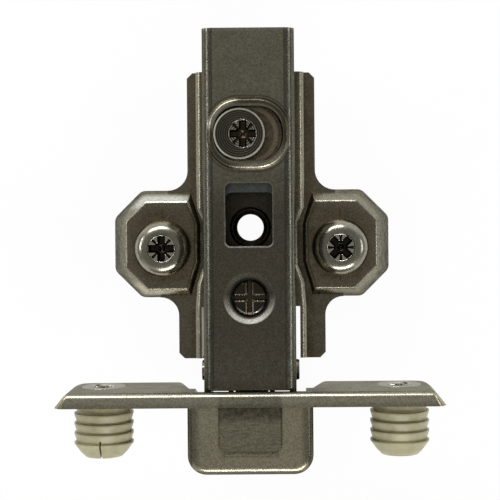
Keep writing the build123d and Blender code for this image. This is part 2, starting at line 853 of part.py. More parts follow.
with BuildPart() as hinge_cup:
    # pocket: outer form, then the hollow
    with BuildSketch(Plane.XY.offset(pocket_far)) as outer:
        with Locations((0, flange_y)):
            Rectangle(2 * pocket_half, flange_y - pocket_floor, align=(Align.CENTER, Align.MAX))
        fillet(outer.vertices().group_by(Axis.Y)[0], pocket_corner)
    extrude(amount=pocket_near - pocket_far)
    near_edges = hinge_cup.edges().filter_by_position(Axis.Z, pocket_near - 0.01, pocket_near + 0.01)
    fillet(near_edges.sort_by(Axis.Y)[:-1], pocket_bend)
    add(flange_form.part)
    # hollow of the pocket
    with BuildSketch(Plane.XY.offset(pocket_far + pocket_sheet)) as inner:
        with Locations((0, flange_y)):
            Rectangle(
                2 * (pocket_half - pocket_sheet),
                flange_y - pocket_floor - pocket_sheet,
                align=(Align.CENTER, Align.MAX),
            )
        fillet(inner.vertices().group_by(Axis.Y)[0], pocket_corner - pocket_sheet)
    extrude(amount=mouth_near - mouth_lip - pocket_far - pocket_sheet, mode=Mode.SUBTRACT)
    # the side walls fall away towards the far wall
    with BuildSketch(Plane.YZ.offset(-pocket_half)):
        with BuildLine():
            Polyline(
                (flange_y, ear_root_z),
                (flange_y - ear_root_drop, flange_far),
                (rim_far_y, pocket_far),
                (rim_far_y, pocket_far - over),
                (flange_y + over, pocket_far - over),
                (flange_y + over, ear_root_z),
                close=True,
            )
        make_face()
    extrude(amount=2 * pocket_half, mode=Mode.SUBTRACT)
    # pressed thumb field on the near wall
    with BuildSketch(Plane.XY.offset(pocket_near)) as field:
        with Locations((0, flange_y - flange_skirt)):
            Rectangle(
                2 * field_half, flange_y - flange_skirt - field_floor, align=(Align.CENTER, Align.MAX)
            )
        fillet(field.vertices().group_by(Axis.Y)[0], field_corner)
    extrude(amount=-field_depth, taper=field_taper, mode=Mode.SUBTRACT)
    # pivot holes
    with Locations((0, *cup_outer), (0, *cup_inner)):
        Cylinder(
            pin_radius + seat, 2 * pocket_half + 2 * over, rotation=(0, 90, 0), mode=Mode.SUBTRACT
        )
    # countersunk holes for the dowel screws
    for side in (1, -1):
        with Locations(
            Plane((side * dowel_spacing / 2, flange_y, dowel_z), x_dir=(1, 0, 0), z_dir=(0, 1, 0))
        ):
            CounterSinkHole(
                radius=dowel_screw_radius + seat,
                counter_sink_radius=dowel_screw_head + seat,
                depth=flange_skirt,
            )
keep(hinge_cup, "hinge_cup")

# ---------------------------------------------------------------- dowels and their screws
for name, side, split_turn in (("left", -1, 0), ("right", 1, 90)):
    axis_plane = Plane((side * dowel_spacing / 2, 0, dowel_z), x_dir=(1, 0, 0), z_dir=(0, 0, 1))
    top = flange_y - flange_sheet
    with BuildPart() as dowel:
        with BuildSketch(axis_plane):
            with BuildLine():
                points = [(dowel_screw_radius + seat, top), (dowel_valley, top)]
                for barb in range(dowel_barbs):
                    level = dowel_first - barb * dowel_pitch
                    points.append((dowel_valley, level + dowel_land))
                    points.append((dowel_radius, level + dowel_land))
                    points.append((dowel_radius, level))
                points.append((dowel_tip_radius, dowel_tip_y + dowel_tip_round))
                points.append((dowel_tip_radius - dowel_tip_round, dowel_tip_y))
                points.append((dowel_screw_radius + seat, dowel_tip_y))
                Polyline(*points, close=True)
            make_face()
        revolve(axis=Axis((side * dowel_spacing / 2, 0, dowel_z), (0, 1, 0)))
        with Locations(Plane((side * dowel_spacing / 2, flange_y, dowel_z), z_dir=(0, 1, 0))):
            CounterSinkHole(dowel_screw_radius + seat, dowel_screw_head + seat, 2 * flange_skirt)
        with BuildSketch(Plane.XZ.offset(-dowel_tip_y)):
            with Locations(Location((side * dowel_spacing / 2, dowel_z, 0), (0, 0, split_turn))):
                Rectangle(dowel_split, 2 * dowel_radius + over)
        extrude(amount=-dowel_split_length, mode=Mode.SUBTRACT)
    keep(dowel, f"dowel_{name}")
    with BuildPart() as dowel_screw:
        with BuildSketch(axis_plane):
            with BuildLine():
                Polyline(
                    (0, flange_y),
                    (dowel_screw_head, flange_y),
                    (dowel_screw_radius, flange_y - (dowel_screw_head - dowel_screw_radius)),
                    (dowel_screw_radius, dowel_screw_tip_y + dowel_screw_point),
                    (dowel_screw_point_radius, dowel_screw_tip_y),
                    (0, dowel_screw_tip_y),
                    close=True,
                )
            make_face()
        revolve(axis=Axis((side * dowel_spacing / 2, 0, dowel_z), (0, 1, 0)))
        head_plane = Plane(
            (side * dowel_spacing / 2, flange_y, dowel_z), x_dir=(1, 0, 0), z_dir=(0, 1, 0)
        )
        add(cross_recess(head_plane, dowel_screw_recess, 0, ticks=False), mode=Mode.SUBTRACT)
    keep(dowel_screw, f"dowel_screw_{name}")
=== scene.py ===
# %% [markdown]
# A concealed cup hinge, screwed to its mounting plate and closed, lies on a pale table and is seen
# from straight above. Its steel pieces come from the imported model, because a hinge is all exact
# shapes. This lesson adds what the drawing leaves out: threads, driver recesses, a round spring
# wire, the leaning ends of the flange, the plating and its wear, soft light and a camera.

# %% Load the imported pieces
import math

import bmesh
import bpy
import numpy as np
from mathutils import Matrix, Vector


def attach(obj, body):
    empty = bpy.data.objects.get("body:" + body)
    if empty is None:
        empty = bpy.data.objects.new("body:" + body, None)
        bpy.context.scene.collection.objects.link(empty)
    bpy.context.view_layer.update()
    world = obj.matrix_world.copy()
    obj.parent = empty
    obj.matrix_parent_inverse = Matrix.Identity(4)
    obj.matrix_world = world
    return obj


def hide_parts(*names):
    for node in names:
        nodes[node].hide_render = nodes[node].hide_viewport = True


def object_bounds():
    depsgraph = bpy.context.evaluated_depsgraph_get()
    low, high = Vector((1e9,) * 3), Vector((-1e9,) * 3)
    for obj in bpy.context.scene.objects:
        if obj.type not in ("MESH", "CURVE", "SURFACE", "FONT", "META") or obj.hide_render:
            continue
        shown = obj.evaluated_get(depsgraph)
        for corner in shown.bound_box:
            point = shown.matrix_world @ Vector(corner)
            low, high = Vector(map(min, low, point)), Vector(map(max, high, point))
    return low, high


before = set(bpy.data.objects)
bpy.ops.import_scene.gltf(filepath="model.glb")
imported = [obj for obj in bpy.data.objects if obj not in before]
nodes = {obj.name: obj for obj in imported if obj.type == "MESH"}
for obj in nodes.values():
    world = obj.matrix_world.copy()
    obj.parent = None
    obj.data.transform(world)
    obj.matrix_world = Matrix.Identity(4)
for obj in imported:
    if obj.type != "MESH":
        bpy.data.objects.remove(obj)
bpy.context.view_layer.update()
MM = 0.001
print("loaded", len(nodes), "pieces")

# %% [markdown]
# The camera hangs about 23 cm above the plate and looks straight down. Its picture is shifted a
# little, as when a print is cropped off centre. A shift keeps upright faces slanting the way they
# do in real life, which turning the camera would not.

# %% Camera
FOCAL_PX = 1232.0
PICTURE_PX = 500.0
CENTRE_PX = (290.0, 205.0)
EYE = (7.01 * MM, 7.62 * MM, 225.0 * MM)
SENSOR = 36.0
ROLL = math.radians(-0.45)

lens = bpy.data.cameras.new("camera")
lens.sensor_width = SENSOR
lens.lens = FOCAL_PX / PICTURE_PX * SENSOR
lens.shift_x = -(CENTRE_PX[0] - PICTURE_PX / 2) / PICTURE_PX
lens.shift_y = -(PICTURE_PX / 2 - CENTRE_PX[1]) / PICTURE_PX
lens.clip_start = 0.005
lens.clip_end = 20.0
camera = bpy.data.objects.new("camera", lens)
camera.location = EYE
camera.rotation_euler = (0.0, 0.0, ROLL)
bpy.context.scene.collection.objects.link(camera)
bpy.context.scene.camera = camera
bpy.context.scene.view_settings.view_transform = "Standard"
print("lens", round(lens.lens, 1), "mm")

# %% [markdown]
# Every new piece here is a sheet of points in rows and columns, bent into a shape and closed at
# both ends. Screws are such a sheet turned round an axis, and the spring is one wrapped along a
# path. A cube or a sculpting brush could be pushed towards these shapes, but a formula gives the
# same thread and the same recess on every screw.

# %% A closed sheet of points becomes a mesh
def skin(name, grid):
    """Closes a grid of points (rows, columns, xyz): columns join round, and the first and last rows
    are single points, the poles, that a fan of triangles closes."""
    rows, columns = grid.shape[:2]
    ring = grid[1:-1].reshape(-1, 3)
    points = np.vstack([grid[0, :1], ring, grid[-1, :1]]) * MM
    k = np.arange(columns)
    after = (k + 1) % columns
    base = 1 + np.arange(rows - 3)[:, None] * columns
    quads = np.stack([base + k, base + after, base + columns + after, base + columns + k], -1)
    quads = quads.reshape(-1, 4)
    last = 1 + (rows - 3) * columns
    fans = np.vstack([
        np.stack([np.zeros_like(k), after + 1, k + 1], -1),
        np.stack([last + k, last + after, np.full_like(k, len(points) - 1)], -1),
    ])
    mesh = bpy.data.meshes.new(name)
    mesh.from_pydata(points.tolist(), [], quads.tolist() + fans.tolist())
    return mesh


def finish_piece(mesh, body, node_name, sharp=35.0):
    """Faces turned outward, edges over the sharp angle kept crisp, and the piece put on its body."""
    sheet = bmesh.new()
    sheet.from_mesh(mesh)
    bmesh.ops.recalc_face_normals(sheet, faces=sheet.faces)
    sheet.to_mesh(mesh)
    sheet.free()
    mesh.shade_smooth()
    mesh.set_sharp_from_angle(angle=math.radians(sharp))
    piece = bpy.data.objects.new(mesh.name, mesh)
    bpy.context.scene.collection.objects.link(piece)
    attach(piece, body)
    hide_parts(node_name)
    return piece


def along(corners, step):
    """Points at an even step along straight runs between the corners of a profile (radius, height)."""
    corners = np.asarray(corners, float)
    lengths = np.hypot(*np.diff(corners, axis=0).T)
    place = np.concatenate([[0.0], np.cumsum(lengths)])
    ticks = [np.linspace(a, b, max(2, int(math.ceil((b - a) / step)) + 1))[:-1]
             for a, b in zip(place[:-1], place[1:])]
    at = np.concatenate(ticks + [[place[-1]]])
    return np.stack([np.interp(at, place, corners[:, 0]), np.interp(at, place, corners[:, 1])], -1)


def turned(profile, columns, cut=None, thread=None):
    """Radius r and height h of the profile go round by the angle a: x = r cos a, y = r sin a, z = h.
    A cut lowers z by cut(x, y, z), and a thread adds to r a ridge that climbs one pitch per turn."""
    angle = np.linspace(0, 2 * math.pi, columns, endpoint=False)
    r = np.repeat(profile[:, :1], columns, 1)
    z = np.repeat(profile[:, 1:], columns, 1)
    if thread is not None:
        r = r + thread(r, z, angle[None, :])
    x, y = r * np.cos(angle), r * np.sin(angle)
    if cut is not None:
        z = z - cut(x, y, z)
    return np.stack([x, y, z], -1)


print("sheet tools ready")

# %% [markdown]
# A driver recess is a cross pressed into the head: four wings round an open core, a thin dished
# rim, and a pit at the bottom where the punch came to a point. It could be cut out with Booleans,
# but the head is already a fine sheet of points, so the recess is a depth that is taken off it.

# %% Recess and thread formulas
def wall(distance, slope):
    """0 outside an outline, 1 inside it, with a wall that is as wide as the slope."""
    t = np.clip(-distance / slope, 0, 1)
    return t * t * (3 - 2 * t)


def bar(u, v, half_length, half_width):
    """Distance to the outline of a bar, less than nought inside it."""
    return np.maximum(np.abs(u) - half_length, np.abs(v) - half_width)


def cross_recess(reach, half_wing, core, depth, turn=0.0, shift=0.0):
    """Depth is the deepest of: two crossed bars and the core, a thin rim, wedges at 45 degrees that
    widen outwards, and a dished pit in the middle."""
    c, s = math.cos(math.radians(turn)), math.sin(math.radians(turn))

    def cut(x, y, z):
        x = x - shift
        u, v = c * x + s * y, c * y - s * x
        r = np.hypot(u, v)
        cross = np.minimum(np.minimum(bar(u, v, reach, half_wing), bar(v, u, reach, half_wing)), r - core)
        deep = 0.85 * depth * wall(cross, 0.3)
        deep = np.maximum(deep, 0.1 * depth * wall(r - reach - 0.2, 0.16))
        p, q = np.abs(u + v) * math.sqrt(0.5), np.abs(u - v) * math.sqrt(0.5)
        wedge = np.minimum(np.maximum(p - reach, q - 0.05 - 0.13 * p),
                           np.maximum(q - reach, p - 0.05 - 0.13 * q))
        deep = np.maximum(deep, 0.4 * depth * wall(wedge, 0.14))
        pit = 0.12 * depth * wall(r - core * 0.6, core * 0.5)
        return deep + pit

    return cut


def screw_thread(root_drop, pitch, top, bottom, crest=0.22, run_out=0.9):
    """Between bottom and top the radius drops by root_drop, apart from a ridge where the height,
    less the turned angle's share of the pitch, is near a whole number of pitches."""
    def thread(r, z, angle):
        phase = (z / pitch - angle / (2 * math.pi)) % 1.0 - 0.5
        ridge = np.clip((0.5 - np.abs(phase)) / crest - 0.25, 0, 1)
        on = np.clip((top - z) / run_out, 0, 1) * np.clip((z - bottom) / 0.4, 0, 1)
        return -root_drop * (1 - ridge) * on * (r > root_drop)
    return thread


print("recess and thread ready")

# %% [markdown]
# The two screws in the wings hold the plate on the cabinet side. They have domed bright heads, a
# necked shank and a coarse thread for the 5 mm holes of a system row. The dome is an arc of a
# circle in the profile, the cheapest way to a smooth turned head.

# %% Wing screws
WING_X, WING_TOP, HEAD_RISE, HEAD_R, CROWN_R = 16.0, 3.2, 2.7, 5.05, 2.9
NECK_R, THREAD_R, POINT_R = 2.6, 3.15, 1.1
SCREW_TIP = WING_TOP - 11.5


def dome_arc(start, end, lift, count=22):
    """Points of a circle's arc from start to end, lifted at right angles to the chord."""
    t = np.linspace(0, 1, count)[:, None]
    start, end = np.array(start, float), np.array(end, float)
    chord = end - start
    side = np.array([-chord[1], chord[0]]) / np.hypot(*chord)
    side *= 1.0 if side[0] > 0 else -1.0
    return start + chord * t + side * lift * 4 * t * (1 - t)


for name, x, turn in (("wing_screw_left", -WING_X, 0.0), ("wing_screw_right", WING_X, 45.0)):
    crown, rim = (CROWN_R, WING_TOP + HEAD_RISE), (HEAD_R, WING_TOP + 0.7)
    profile = np.vstack([
        along([(0, crown[1]), (CROWN_R - 0.02, crown[1])], 0.065),
        dome_arc(crown, rim, 0.5),
        along([(HEAD_R, WING_TOP + 0.66), (HEAD_R - 0.25, WING_TOP), (NECK_R, WING_TOP), (NECK_R, -0.4)], 0.5),
        along([(THREAD_R, -0.42), (THREAD_R, SCREW_TIP + 1.6), (POINT_R, SCREW_TIP), (0, SCREW_TIP)], 0.1),
    ])
    head = cross_recess(2.35, 0.74, 1.35, 2.4, turn)
    grid = turned(
        profile, 144,
        cut=lambda x, y, z: np.where(z > WING_TOP + 1.0, head(x, y, z), 0.0),
        thread=screw_thread(0.75, 1.75, -0.4, SCREW_TIP + 0.1),
    )
    grid[..., 0] += x
    piece = finish_piece(skin("turned_" + name, grid), "plate", name, 40.0)
    print(piece.name, len(piece.data.polygons), "faces")

# %% [markdown]
# The cam screw moves the arm in and out. Its disc turns about a shank that isn't in the disc's
# middle, and the turning tool left fine rings on it. The disc and the shank are two turned sheets
# in one mesh, because one profile can't have two axes.

# %% Cam screw
CAM_Y, CAM_THROW, CAM_TOP, CAM_R, CAM_BASE = 19.76, 1.5, 17.0, 4.34, 14.8
RECESS_SHIFT, RING_PITCH = 0.6, 0.375


def rings(inner, outer, pitch, depth):
    """Ring grooves: a cosine of the radius between the inner and outer radius."""
    def cut(x, y, z):
        r = np.hypot(x, y)
        on = np.clip((r - inner) / 0.1, 0, 1) * np.clip((outer - r) / 0.1, 0, 1)
        return depth * on * (0.5 - 0.5 * np.cos(2 * math.pi * (r - inner) / pitch))
    return cut


def join(name, *grids):
    """One mesh from several closed sheets."""
    meshes = [skin(name, g) for g in grids]
    work = bmesh.new()
    for mesh in meshes:
        work.from_mesh(mesh)
    work.to_mesh(meshes[0])
    work.free()
    for mesh in meshes[1:]:
        bpy.data.meshes.remove(mesh)
    meshes[0].name = name
    return meshes[0]


cam_recess = cross_recess(2.3, 0.7, 1.3, 2.0, shift=RECESS_SHIFT)
cam_rings = rings(2.6, 4.1, RING_PITCH, 0.035)
disc = turned(
    along([(0, CAM_TOP), (CAM_R - 0.25, CAM_TOP), (CAM_R, CAM_TOP - 0.25), (CAM_R, CAM_BASE + 0.1),
           (CAM_R - 0.1, CAM_BASE), (0, CAM_BASE)], 0.06),
    176,
    cut=lambda x, y, z: np.where(z > CAM_TOP - 0.1, np.maximum(cam_recess(x, y, z), cam_rings(x, y, z)), 0.0),
)
shank = turned(along([(0, CAM_BASE + 0.04), (2.4, CAM_BASE + 0.04), (2.4, 6.9), (3.5, 6.9), (3.5, 5.9),
                      (0, 5.9)], 0.4), 48)
disc += (-CAM_THROW, CAM_Y, 0)
shank += (0, CAM_Y, 0)
cam_piece = finish_piece(join("turned_cam_screw", disc, shank), "cam", "cam_screw", 40.0)
print(cam_piece.name, len(cam_piece.data.polygons), "faces")

# %% [markdown]
# The side screw has two deep crossed slots that leave four pads. A file or a saw left slanting
# lines across the pads, so a small wave is taken off them too.

# %% Side screw
SIDE_Y, SIDE_TOP, SIDE_R = -8.15, 15.1, 2.95
SLIT_HALF, SLIT_DEPTH, SLIT_CORE, FAR = 0.475, 1.1, 0.95, 9.0


def two_slits(x, y):
    """Distance to the outline of two crossed slots that run off the head."""
    return np.minimum(bar(x, y, FAR, SLIT_HALF), bar(y, x, FAR, SLIT_HALF))


def slotted(x, y, z):
    """The deeper of two crossed slots and an open middle, and a fine slanting wave on the pads."""
    cross = np.minimum(two_slits(x, y), np.hypot(x, y) - SLIT_CORE)
    pads = 0.035 * (0.5 - 0.5 * np.cos((x - y) * 2 * math.pi / 0.5)) * (1 - wall(cross, 0.1))
    return np.where(z > SIDE_TOP - 1.2, SLIT_DEPTH * wall(cross, 0.12) + pads, 0.0)


def slotted_side(grid):
    """Points of the head's side and rim that stand in a slot sink to the slot's floor."""
    floor = SIDE_TOP - SLIT_DEPTH
    high = grid[..., 2] > floor
    inside = wall(two_slits(grid[..., 0], grid[..., 1]), 0.12)
    grid[..., 2] = np.where(high, grid[..., 2] * (1 - inside) + floor * inside, grid[..., 2])
    return grid


side = turned(along([(0, SIDE_TOP), (SIDE_R - 0.3, SIDE_TOP)], 0.06), 192, cut=slotted)
side_wall = turned(
    along([(SIDE_R - 0.26, SIDE_TOP - 0.02), (SIDE_R, SIDE_TOP - 0.3), (SIDE_R, 12.5)], 0.12), 192)
side_foot = turned(
    along([(SIDE_R - 0.05, 12.5), (1.7, 12.5), (1.7, 10.8), (2.8, 10.8), (2.8, 9.7), (0, 9.7)], 0.5), 192)
grid = np.vstack([side, slotted_side(side_wall), side_foot])
grid[..., 1] += SIDE_Y
side_piece = finish_piece(skin("slotted_side_screw", grid), "side_adjuster", "side_screw", 40.0)
print(side_piece.name, len(side_piece.data.polygons), "faces")

# %% [markdown]
# The dowel screws are countersunk and spread the nylon dowels from inside. They lie along the
# cup's axis, so the turned sheet is laid over by swapping two of its coordinates.

# %% Dowel screws
DOWEL_X, DOWEL_Z, FLANGE_Y = 26.0, 8.1, -24.0

for name, x, turn in (("dowel_screw_left", -DOWEL_X, 0.0), ("dowel_screw_right", DOWEL_X, 90.0)):
    recess = cross_recess(2.0, 0.5, 1.0, 1.9, turn + 20.0)
    grid = turned(
        np.vstack([
            along([(0, 0), (3.85, 0)], 0.08),
            along([(3.88, -0.06), (1.75, -2.2), (1.75, -9.0), (0.3, -11.0), (0, -11.0)], 0.09),
        ]),
        128,
        cut=lambda x, y, z: np.where(z > -0.03, recess(x, y, z), 0.0),
        thread=screw_thread(0.5, 1.3, -2.6, -11.2),
    )
    laid = np.stack([grid[..., 0] + x, grid[..., 2] + FLANGE_Y, DOWEL_Z - grid[..., 1]], -1)
    piece = finish_piece(skin("turned_" + name, laid), "cup", name, 40.0)
    print(piece.name, len(piece.data.polygons), "faces")

# %% [markdown]
# The closing spring is one bent wire: a leg along the link, two and a bit turns round the pin, and
# a straight run to the bight that lies under the arm, then the same again mirrored. A curve object
# with a round bevel would do, but a sheet wrapped along the path keeps its seam and ends closed.

# %% Closing spring
WIRE_R, COIL_R, COIL_X, COIL_END_X = 0.45, 2.2, 3.65, 5.95
PIN = np.array([-21.0, 10.4])
LEG_WAY = np.array([-30.2, -5.8]) - PIN
LEG_WAY /= np.hypot(*LEG_WAY)
BIGHT = np.array([-15.3, 14.25])

to_bight = BIGHT - PIN
leg_angle = math.atan2(-LEG_WAY[0], LEG_WAY[1])
bight_angle = math.atan2(to_bight[1], to_bight[0]) + math.acos(COIL_R / np.hypot(*to_bight))
sweep = (leg_angle - bight_angle) + 4 * math.pi
a = np.linspace(0, sweep, 170)
across, down = np.array([LEG_WAY[1], -LEG_WAY[0]]), LEG_WAY
coil = np.column_stack([
    COIL_X + (COIL_END_X - COIL_X) * a / sweep,
    PIN + COIL_R * (np.cos(a)[:, None] * across - np.sin(a)[:, None] * down),
])
leg = coil[0] + np.linspace(7.0, 0.3, 12)[:, None] * np.array([0, *LEG_WAY])
corner = np.array([COIL_END_X, *BIGHT])
way = (corner - coil[-1]) / np.linalg.norm(corner - coil[-1])
t = np.linspace(0, 1, 14)[:, None]
before, after = corner - 1.0 * way, corner + np.array([-1.0, 0, 0])
bend = before * (1 - t) ** 2 + 2 * corner * t * (1 - t) + after * t ** 2
path = np.vstack([leg, coil, np.linspace(coil[-1], before, 8)[1:-1], bend, [[0.0, *BIGHT]]])
tangent = np.gradient(path, axis=0)
tangent /= np.linalg.norm(tangent, axis=1)[:, None]
first = np.cross(tangent, (1.0, 0, 0))
flat = np.linalg.norm(first, axis=1) < 0.05
first[flat] = np.cross(way, (1.0, 0, 0))
first /= np.linalg.norm(first, axis=1)[:, None]
second = np.cross(tangent, first)
b = np.linspace(0, 2 * math.pi, 20, endpoint=False)
circle = np.cos(b)[:, None] * first[:, None] + np.sin(b)[:, None] * second[:, None]
tube = path[:, None] + WIRE_R * circle
tube[-1, :, 0] = 0.0
end_cap = np.repeat(path[:1, None], len(b), 1)
half = np.vstack([end_cap, tube])
mirrored = half[::-1][1:] * (-1, 1, 1)
spring = finish_piece(skin("round_closing_spring", np.vstack([half, mirrored])),
                      "hinge_arm", "closing_spring")
print(spring.name, len(spring.data.polygons), "faces")

# %% [markdown]
# The ends of the cup's flange lean outwards, as a drawn sheet's wall does when its tool has a
# draft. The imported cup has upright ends, so this is a copy of it with the points near the ends
# drawn in by an amount that grows towards the flange's face. A lattice would bend the holes too.

# %% Cup with leaning flange ends
FLANGE_HALF, FLANGE_SKIRT, LEAN, LEAN_FROM = 33.27, 2.5, 2.0, 30.2


def leaned(x, y):
    """Each point moves to the middle by lean times its share of the way out to the end, times its
    share of the way up the skirt."""
    out = np.clip((np.abs(x) - LEAN_FROM) / (FLANGE_HALF - LEAN_FROM), 0, 1)
    up = np.clip((y - (FLANGE_Y - FLANGE_SKIRT)) / FLANGE_SKIRT, 0, 1)
    return x - np.sign(x) * LEAN * out * up


source = nodes["hinge_cup"].data
cup_mesh = source.copy()
cup_mesh.name = "leaned_hinge_cup"
corner_normals = np.empty(len(source.loops) * 3, np.float32)
source.corner_normals.foreach_get("vector", corner_normals)
work = bmesh.new()
work.from_mesh(cup_mesh)
bmesh.ops.remove_doubles(work, verts=work.verts, dist=1e-7)
kept_faces = len(work.faces)
work.to_mesh(cup_mesh)
work.free()
places = np.empty(len(cup_mesh.vertices) * 3, np.float32)
cup_mesh.vertices.foreach_get("co", places)
places = places.reshape(-1, 3)
places[:, 0] = leaned(places[:, 0] / MM, places[:, 1] / MM) * MM
cup_mesh.vertices.foreach_set("co", places.ravel())
cup_mesh.update()
if kept_faces == len(source.polygons):
    cup_mesh.normals_split_custom_set(corner_normals.reshape(-1, 3).tolist())
cup_piece = bpy.data.objects.new("leaned_hinge_cup", cup_mesh)
bpy.context.scene.collection.objects.link(cup_piece)
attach(cup_piece, "cup")
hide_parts("hinge_cup")
print("cup faces", len(source.polygons), "->", kept_faces)

# %% [markdown]
# Now the finishes. Each material is a small tree of shader nodes. The helpers below write such a
# tree in few words: one adds a node and fills its inputs, and one gives places in millimetres from
# a chosen centre, so that every size in the patterns reads like a size on the hinge.

# %% Helpers for shader trees
def add(tree, kind, settings=None, **inputs):
    """A new node. Inputs are given by name, with _ for a blank, or by number after in_."""
    made = tree.nodes.new("ShaderNode" + kind)
    for key, value in (settings or {}).items():
        setattr(made, key, value)
    for key, value in inputs.items():
        plug = made.inputs[int(key[3:])] if key[:3] == "in_" else made.inputs[key.replace("_", " ")]
        if isinstance(value, bpy.types.NodeSocket):
            tree.links.new(value, plug)
        elif plug.type == "RGBA":
            plug.default_value = (*value, 1)
        else:
            plug.default_value = value
    return made


def sum_of(tree, a, b, operation="ADD"):
    """Two numbers through one Math node."""
    return add(tree, "Math", {"operation": operation}, in_0=a, in_1=b).outputs[0]


def size_of(tree, value):
    """A number without its sign."""
    return sum_of(tree, value, 0.0, "ABSOLUTE")


def ramp(tree, value, low, high, to=(0.0, 1.0)):
    """A number's way from low to high, smoothed and put between the two ends."""
    return add(tree, "MapRange", {"interpolation_type": "SMOOTHSTEP"}, Value=value,
               From_Min=low, From_Max=high, To_Min=to[0], To_Max=to[1]).outputs[0]


def blend(tree, mask, a, b):
    """Colour a where the mask is 0, colour b where it is 1."""
    mix = add(tree, "Mix", {"data_type": "RGBA"}, in_0=mask)
    for plug, value in zip([s for s in mix.inputs if s.type == "RGBA"], (a, b)):
        if isinstance(value, bpy.types.NodeSocket):
            tree.links.new(value, plug)
        else:
            plug.default_value = (*value, 1)
    return [s for s in mix.outputs if s.type == "RGBA"][0]


def millimetres(tree, centre=(0, 0, 0), turn=(0, 0, 0)):
    """Object places in millimetres from a centre, turned if asked."""
    place = add(tree, "TexCoord").outputs["Object"]
    return add(tree, "Mapping", {"vector_type": "TEXTURE"}, Vector=place,
               Location=tuple(c * MM for c in centre), Rotation=turn, Scale=(MM, MM, MM)).outputs[0]


def parts_of(tree, place):
    """The x, y and z of a place."""
    return add(tree, "SeparateXYZ", in_0=place).outputs


def new_group(name, inputs, outputs):
    """An empty node group with named inputs (name, kind, value) and outputs (name, kind)."""
    tree = bpy.data.node_groups.new(name, "ShaderNodeTree")
    for label, kind, value in inputs:
        plug = tree.interface.new_socket(label, in_out="INPUT", socket_type="NodeSocket" + kind)
        if value is not None:
            plug.default_value = value
    for label, kind in outputs:
        tree.interface.new_socket(label, in_out="OUTPUT", socket_type="NodeSocket" + kind)
    return tree, tree.nodes.new("NodeGroupInput").outputs, tree.nodes.new("NodeGroupOutput").inputs


def use_group(tree, group, **inputs):
    """A node group put into a material with its own values."""
    made = tree.nodes.new("ShaderNodeGroup")
    made.node_tree = group
    for key, value in inputs.items():
        plug = made.inputs[key.replace("_", " ")]
        if isinstance(value, bpy.types.NodeSocket):
            tree.links.new(value, plug)
        else:
            plug.default_value = value
    return made.outputs


print("shader helpers ready")

# %% [markdown]
# Barrel-plated steel isn't a mirror: it is peened by the other pieces in the barrel. That gives a
# sandy grain of tiny dents, and larger dull clouds where the bath was uneven. Both are noise, so
# they share a group that every plated piece uses with its own sizes.

# %% Group: satin plating
satin, into, out = new_group(
    "satin_plating",
    [("Place", "Vector", None), ("Grain Size", "Float", 0.3), ("Cloud Size", "Float", 3.0)],
    [("Grain", "Float"), ("Cloud", "Float"), ("Height", "Float")],
)
fine_scale = sum_of(satin, 1.0, into["Grain Size"], "DIVIDE")
cloud_scale = sum_of(satin, 1.0, into["Cloud Size"], "DIVIDE")
fine = add(satin, "TexNoise", Vector=into["Place"], Scale=fine_scale, Detail=3.0, Roughness=0.65).outputs["Fac"]
cloud = add(satin, "TexNoise", Vector=into["Place"], Scale=cloud_scale, Detail=4.0, Roughness=0.6,
            Distortion=0.4).outputs["Fac"]
grain = ramp(satin, fine, 0.3, 0.7)
dents = add(satin, "TexVoronoi", {"feature": "F1"}, Vector=into["Place"],
            Scale=sum_of(satin, fine_scale, 0.35, "MULTIPLY")).outputs["Distance"]
height = sum_of(satin, grain, sum_of(satin, ramp(satin, dents, 0.0, 0.35), 0.8, "MULTIPLY"))
satin.links.new(grain, out["Grain"])
satin.links.new(ramp(satin, cloud, 0.36, 0.64), out["Cloud"])
satin.links.new(height, out["Height"])
print("group", satin.name)

# %% [markdown]
# Where the sheet was bent or drawn, the tool dragged along it and left streaks that run with the
# bend. It is the same noise pulled out long in one direction.

# %% Group: tool streaks
streak, into, out = new_group(
    "tool_streaks",
    [("Place", "Vector", None), ("Stretch", "Vector", (4.0, 0.25, 4.0))],
    [("Streaks", "Float")],
)
pulled = add(streak, "VectorMath", {"operation": "MULTIPLY"},
             in_0=into["Place"], in_1=into["Stretch"]).outputs[0]
lines = add(streak, "TexNoise", Vector=pulled, Scale=1.0, Detail=3.0, Roughness=0.55).outputs["Fac"]
streak.links.new(ramp(streak, lines, 0.35, 0.65), out["Streaks"])
print("group", streak.name)

# %% [markdown]
# Dust lies about at random, as dark crumbs on the nylon. Cells of
# a Voronoi pattern give one spot each, and a second noise leaves most of the cells empty.

# %% Group: specks
speck, into, out = new_group(
    "specks",
    [("Place", "Vector", None), ("Spacing", "Float", 1.5), ("Share", "Float", 0.3)],
    [("Specks", "Float")],
)
cell_scale = sum_of(speck, 1.0, into["Spacing"], "DIVIDE")
cells = add(speck, "TexVoronoi", {"feature": "F1"}, Vector=into["Place"], Scale=cell_scale)
spot = ramp(speck, cells.outputs["Distance"], 0.16, 0.06)
pick = parts_of(speck, cells.outputs["Color"])[0]
chosen = sum_of(speck, pick, into["Share"], "LESS_THAN")
speck.links.new(sum_of(speck, spot, chosen, "MULTIPLY"), out["Specks"])
print("group", speck.name)

# %% [markdown]
# Many marks keep a distance from an edge: the polished rim of a slot, the light line round a
# window, the grease in a recess. A small function measures how far a place lies outside a rounded
# rectangle, and a circle is only such a rectangle with nothing but corners.

# %% Distances and bands for marks
def from_frame(tree, x, y, centre, half, corner):
    """How far |x| and |y| pass the corner's centre, as one length, less the corner's radius."""
    legs = []
    for value, middle, reach in zip((x, y), centre, half):
        off = size_of(tree, sum_of(tree, value, middle, "SUBTRACT"))
        past = sum_of(tree, sum_of(tree, off, reach - corner, "SUBTRACT"), 0.0, "MAXIMUM")
        legs.append(sum_of(tree, past, past, "MULTIPLY"))
    return sum_of(tree, sum_of(tree, sum_of(tree, *legs), 0.5, "POWER"), corner, "SUBTRACT")


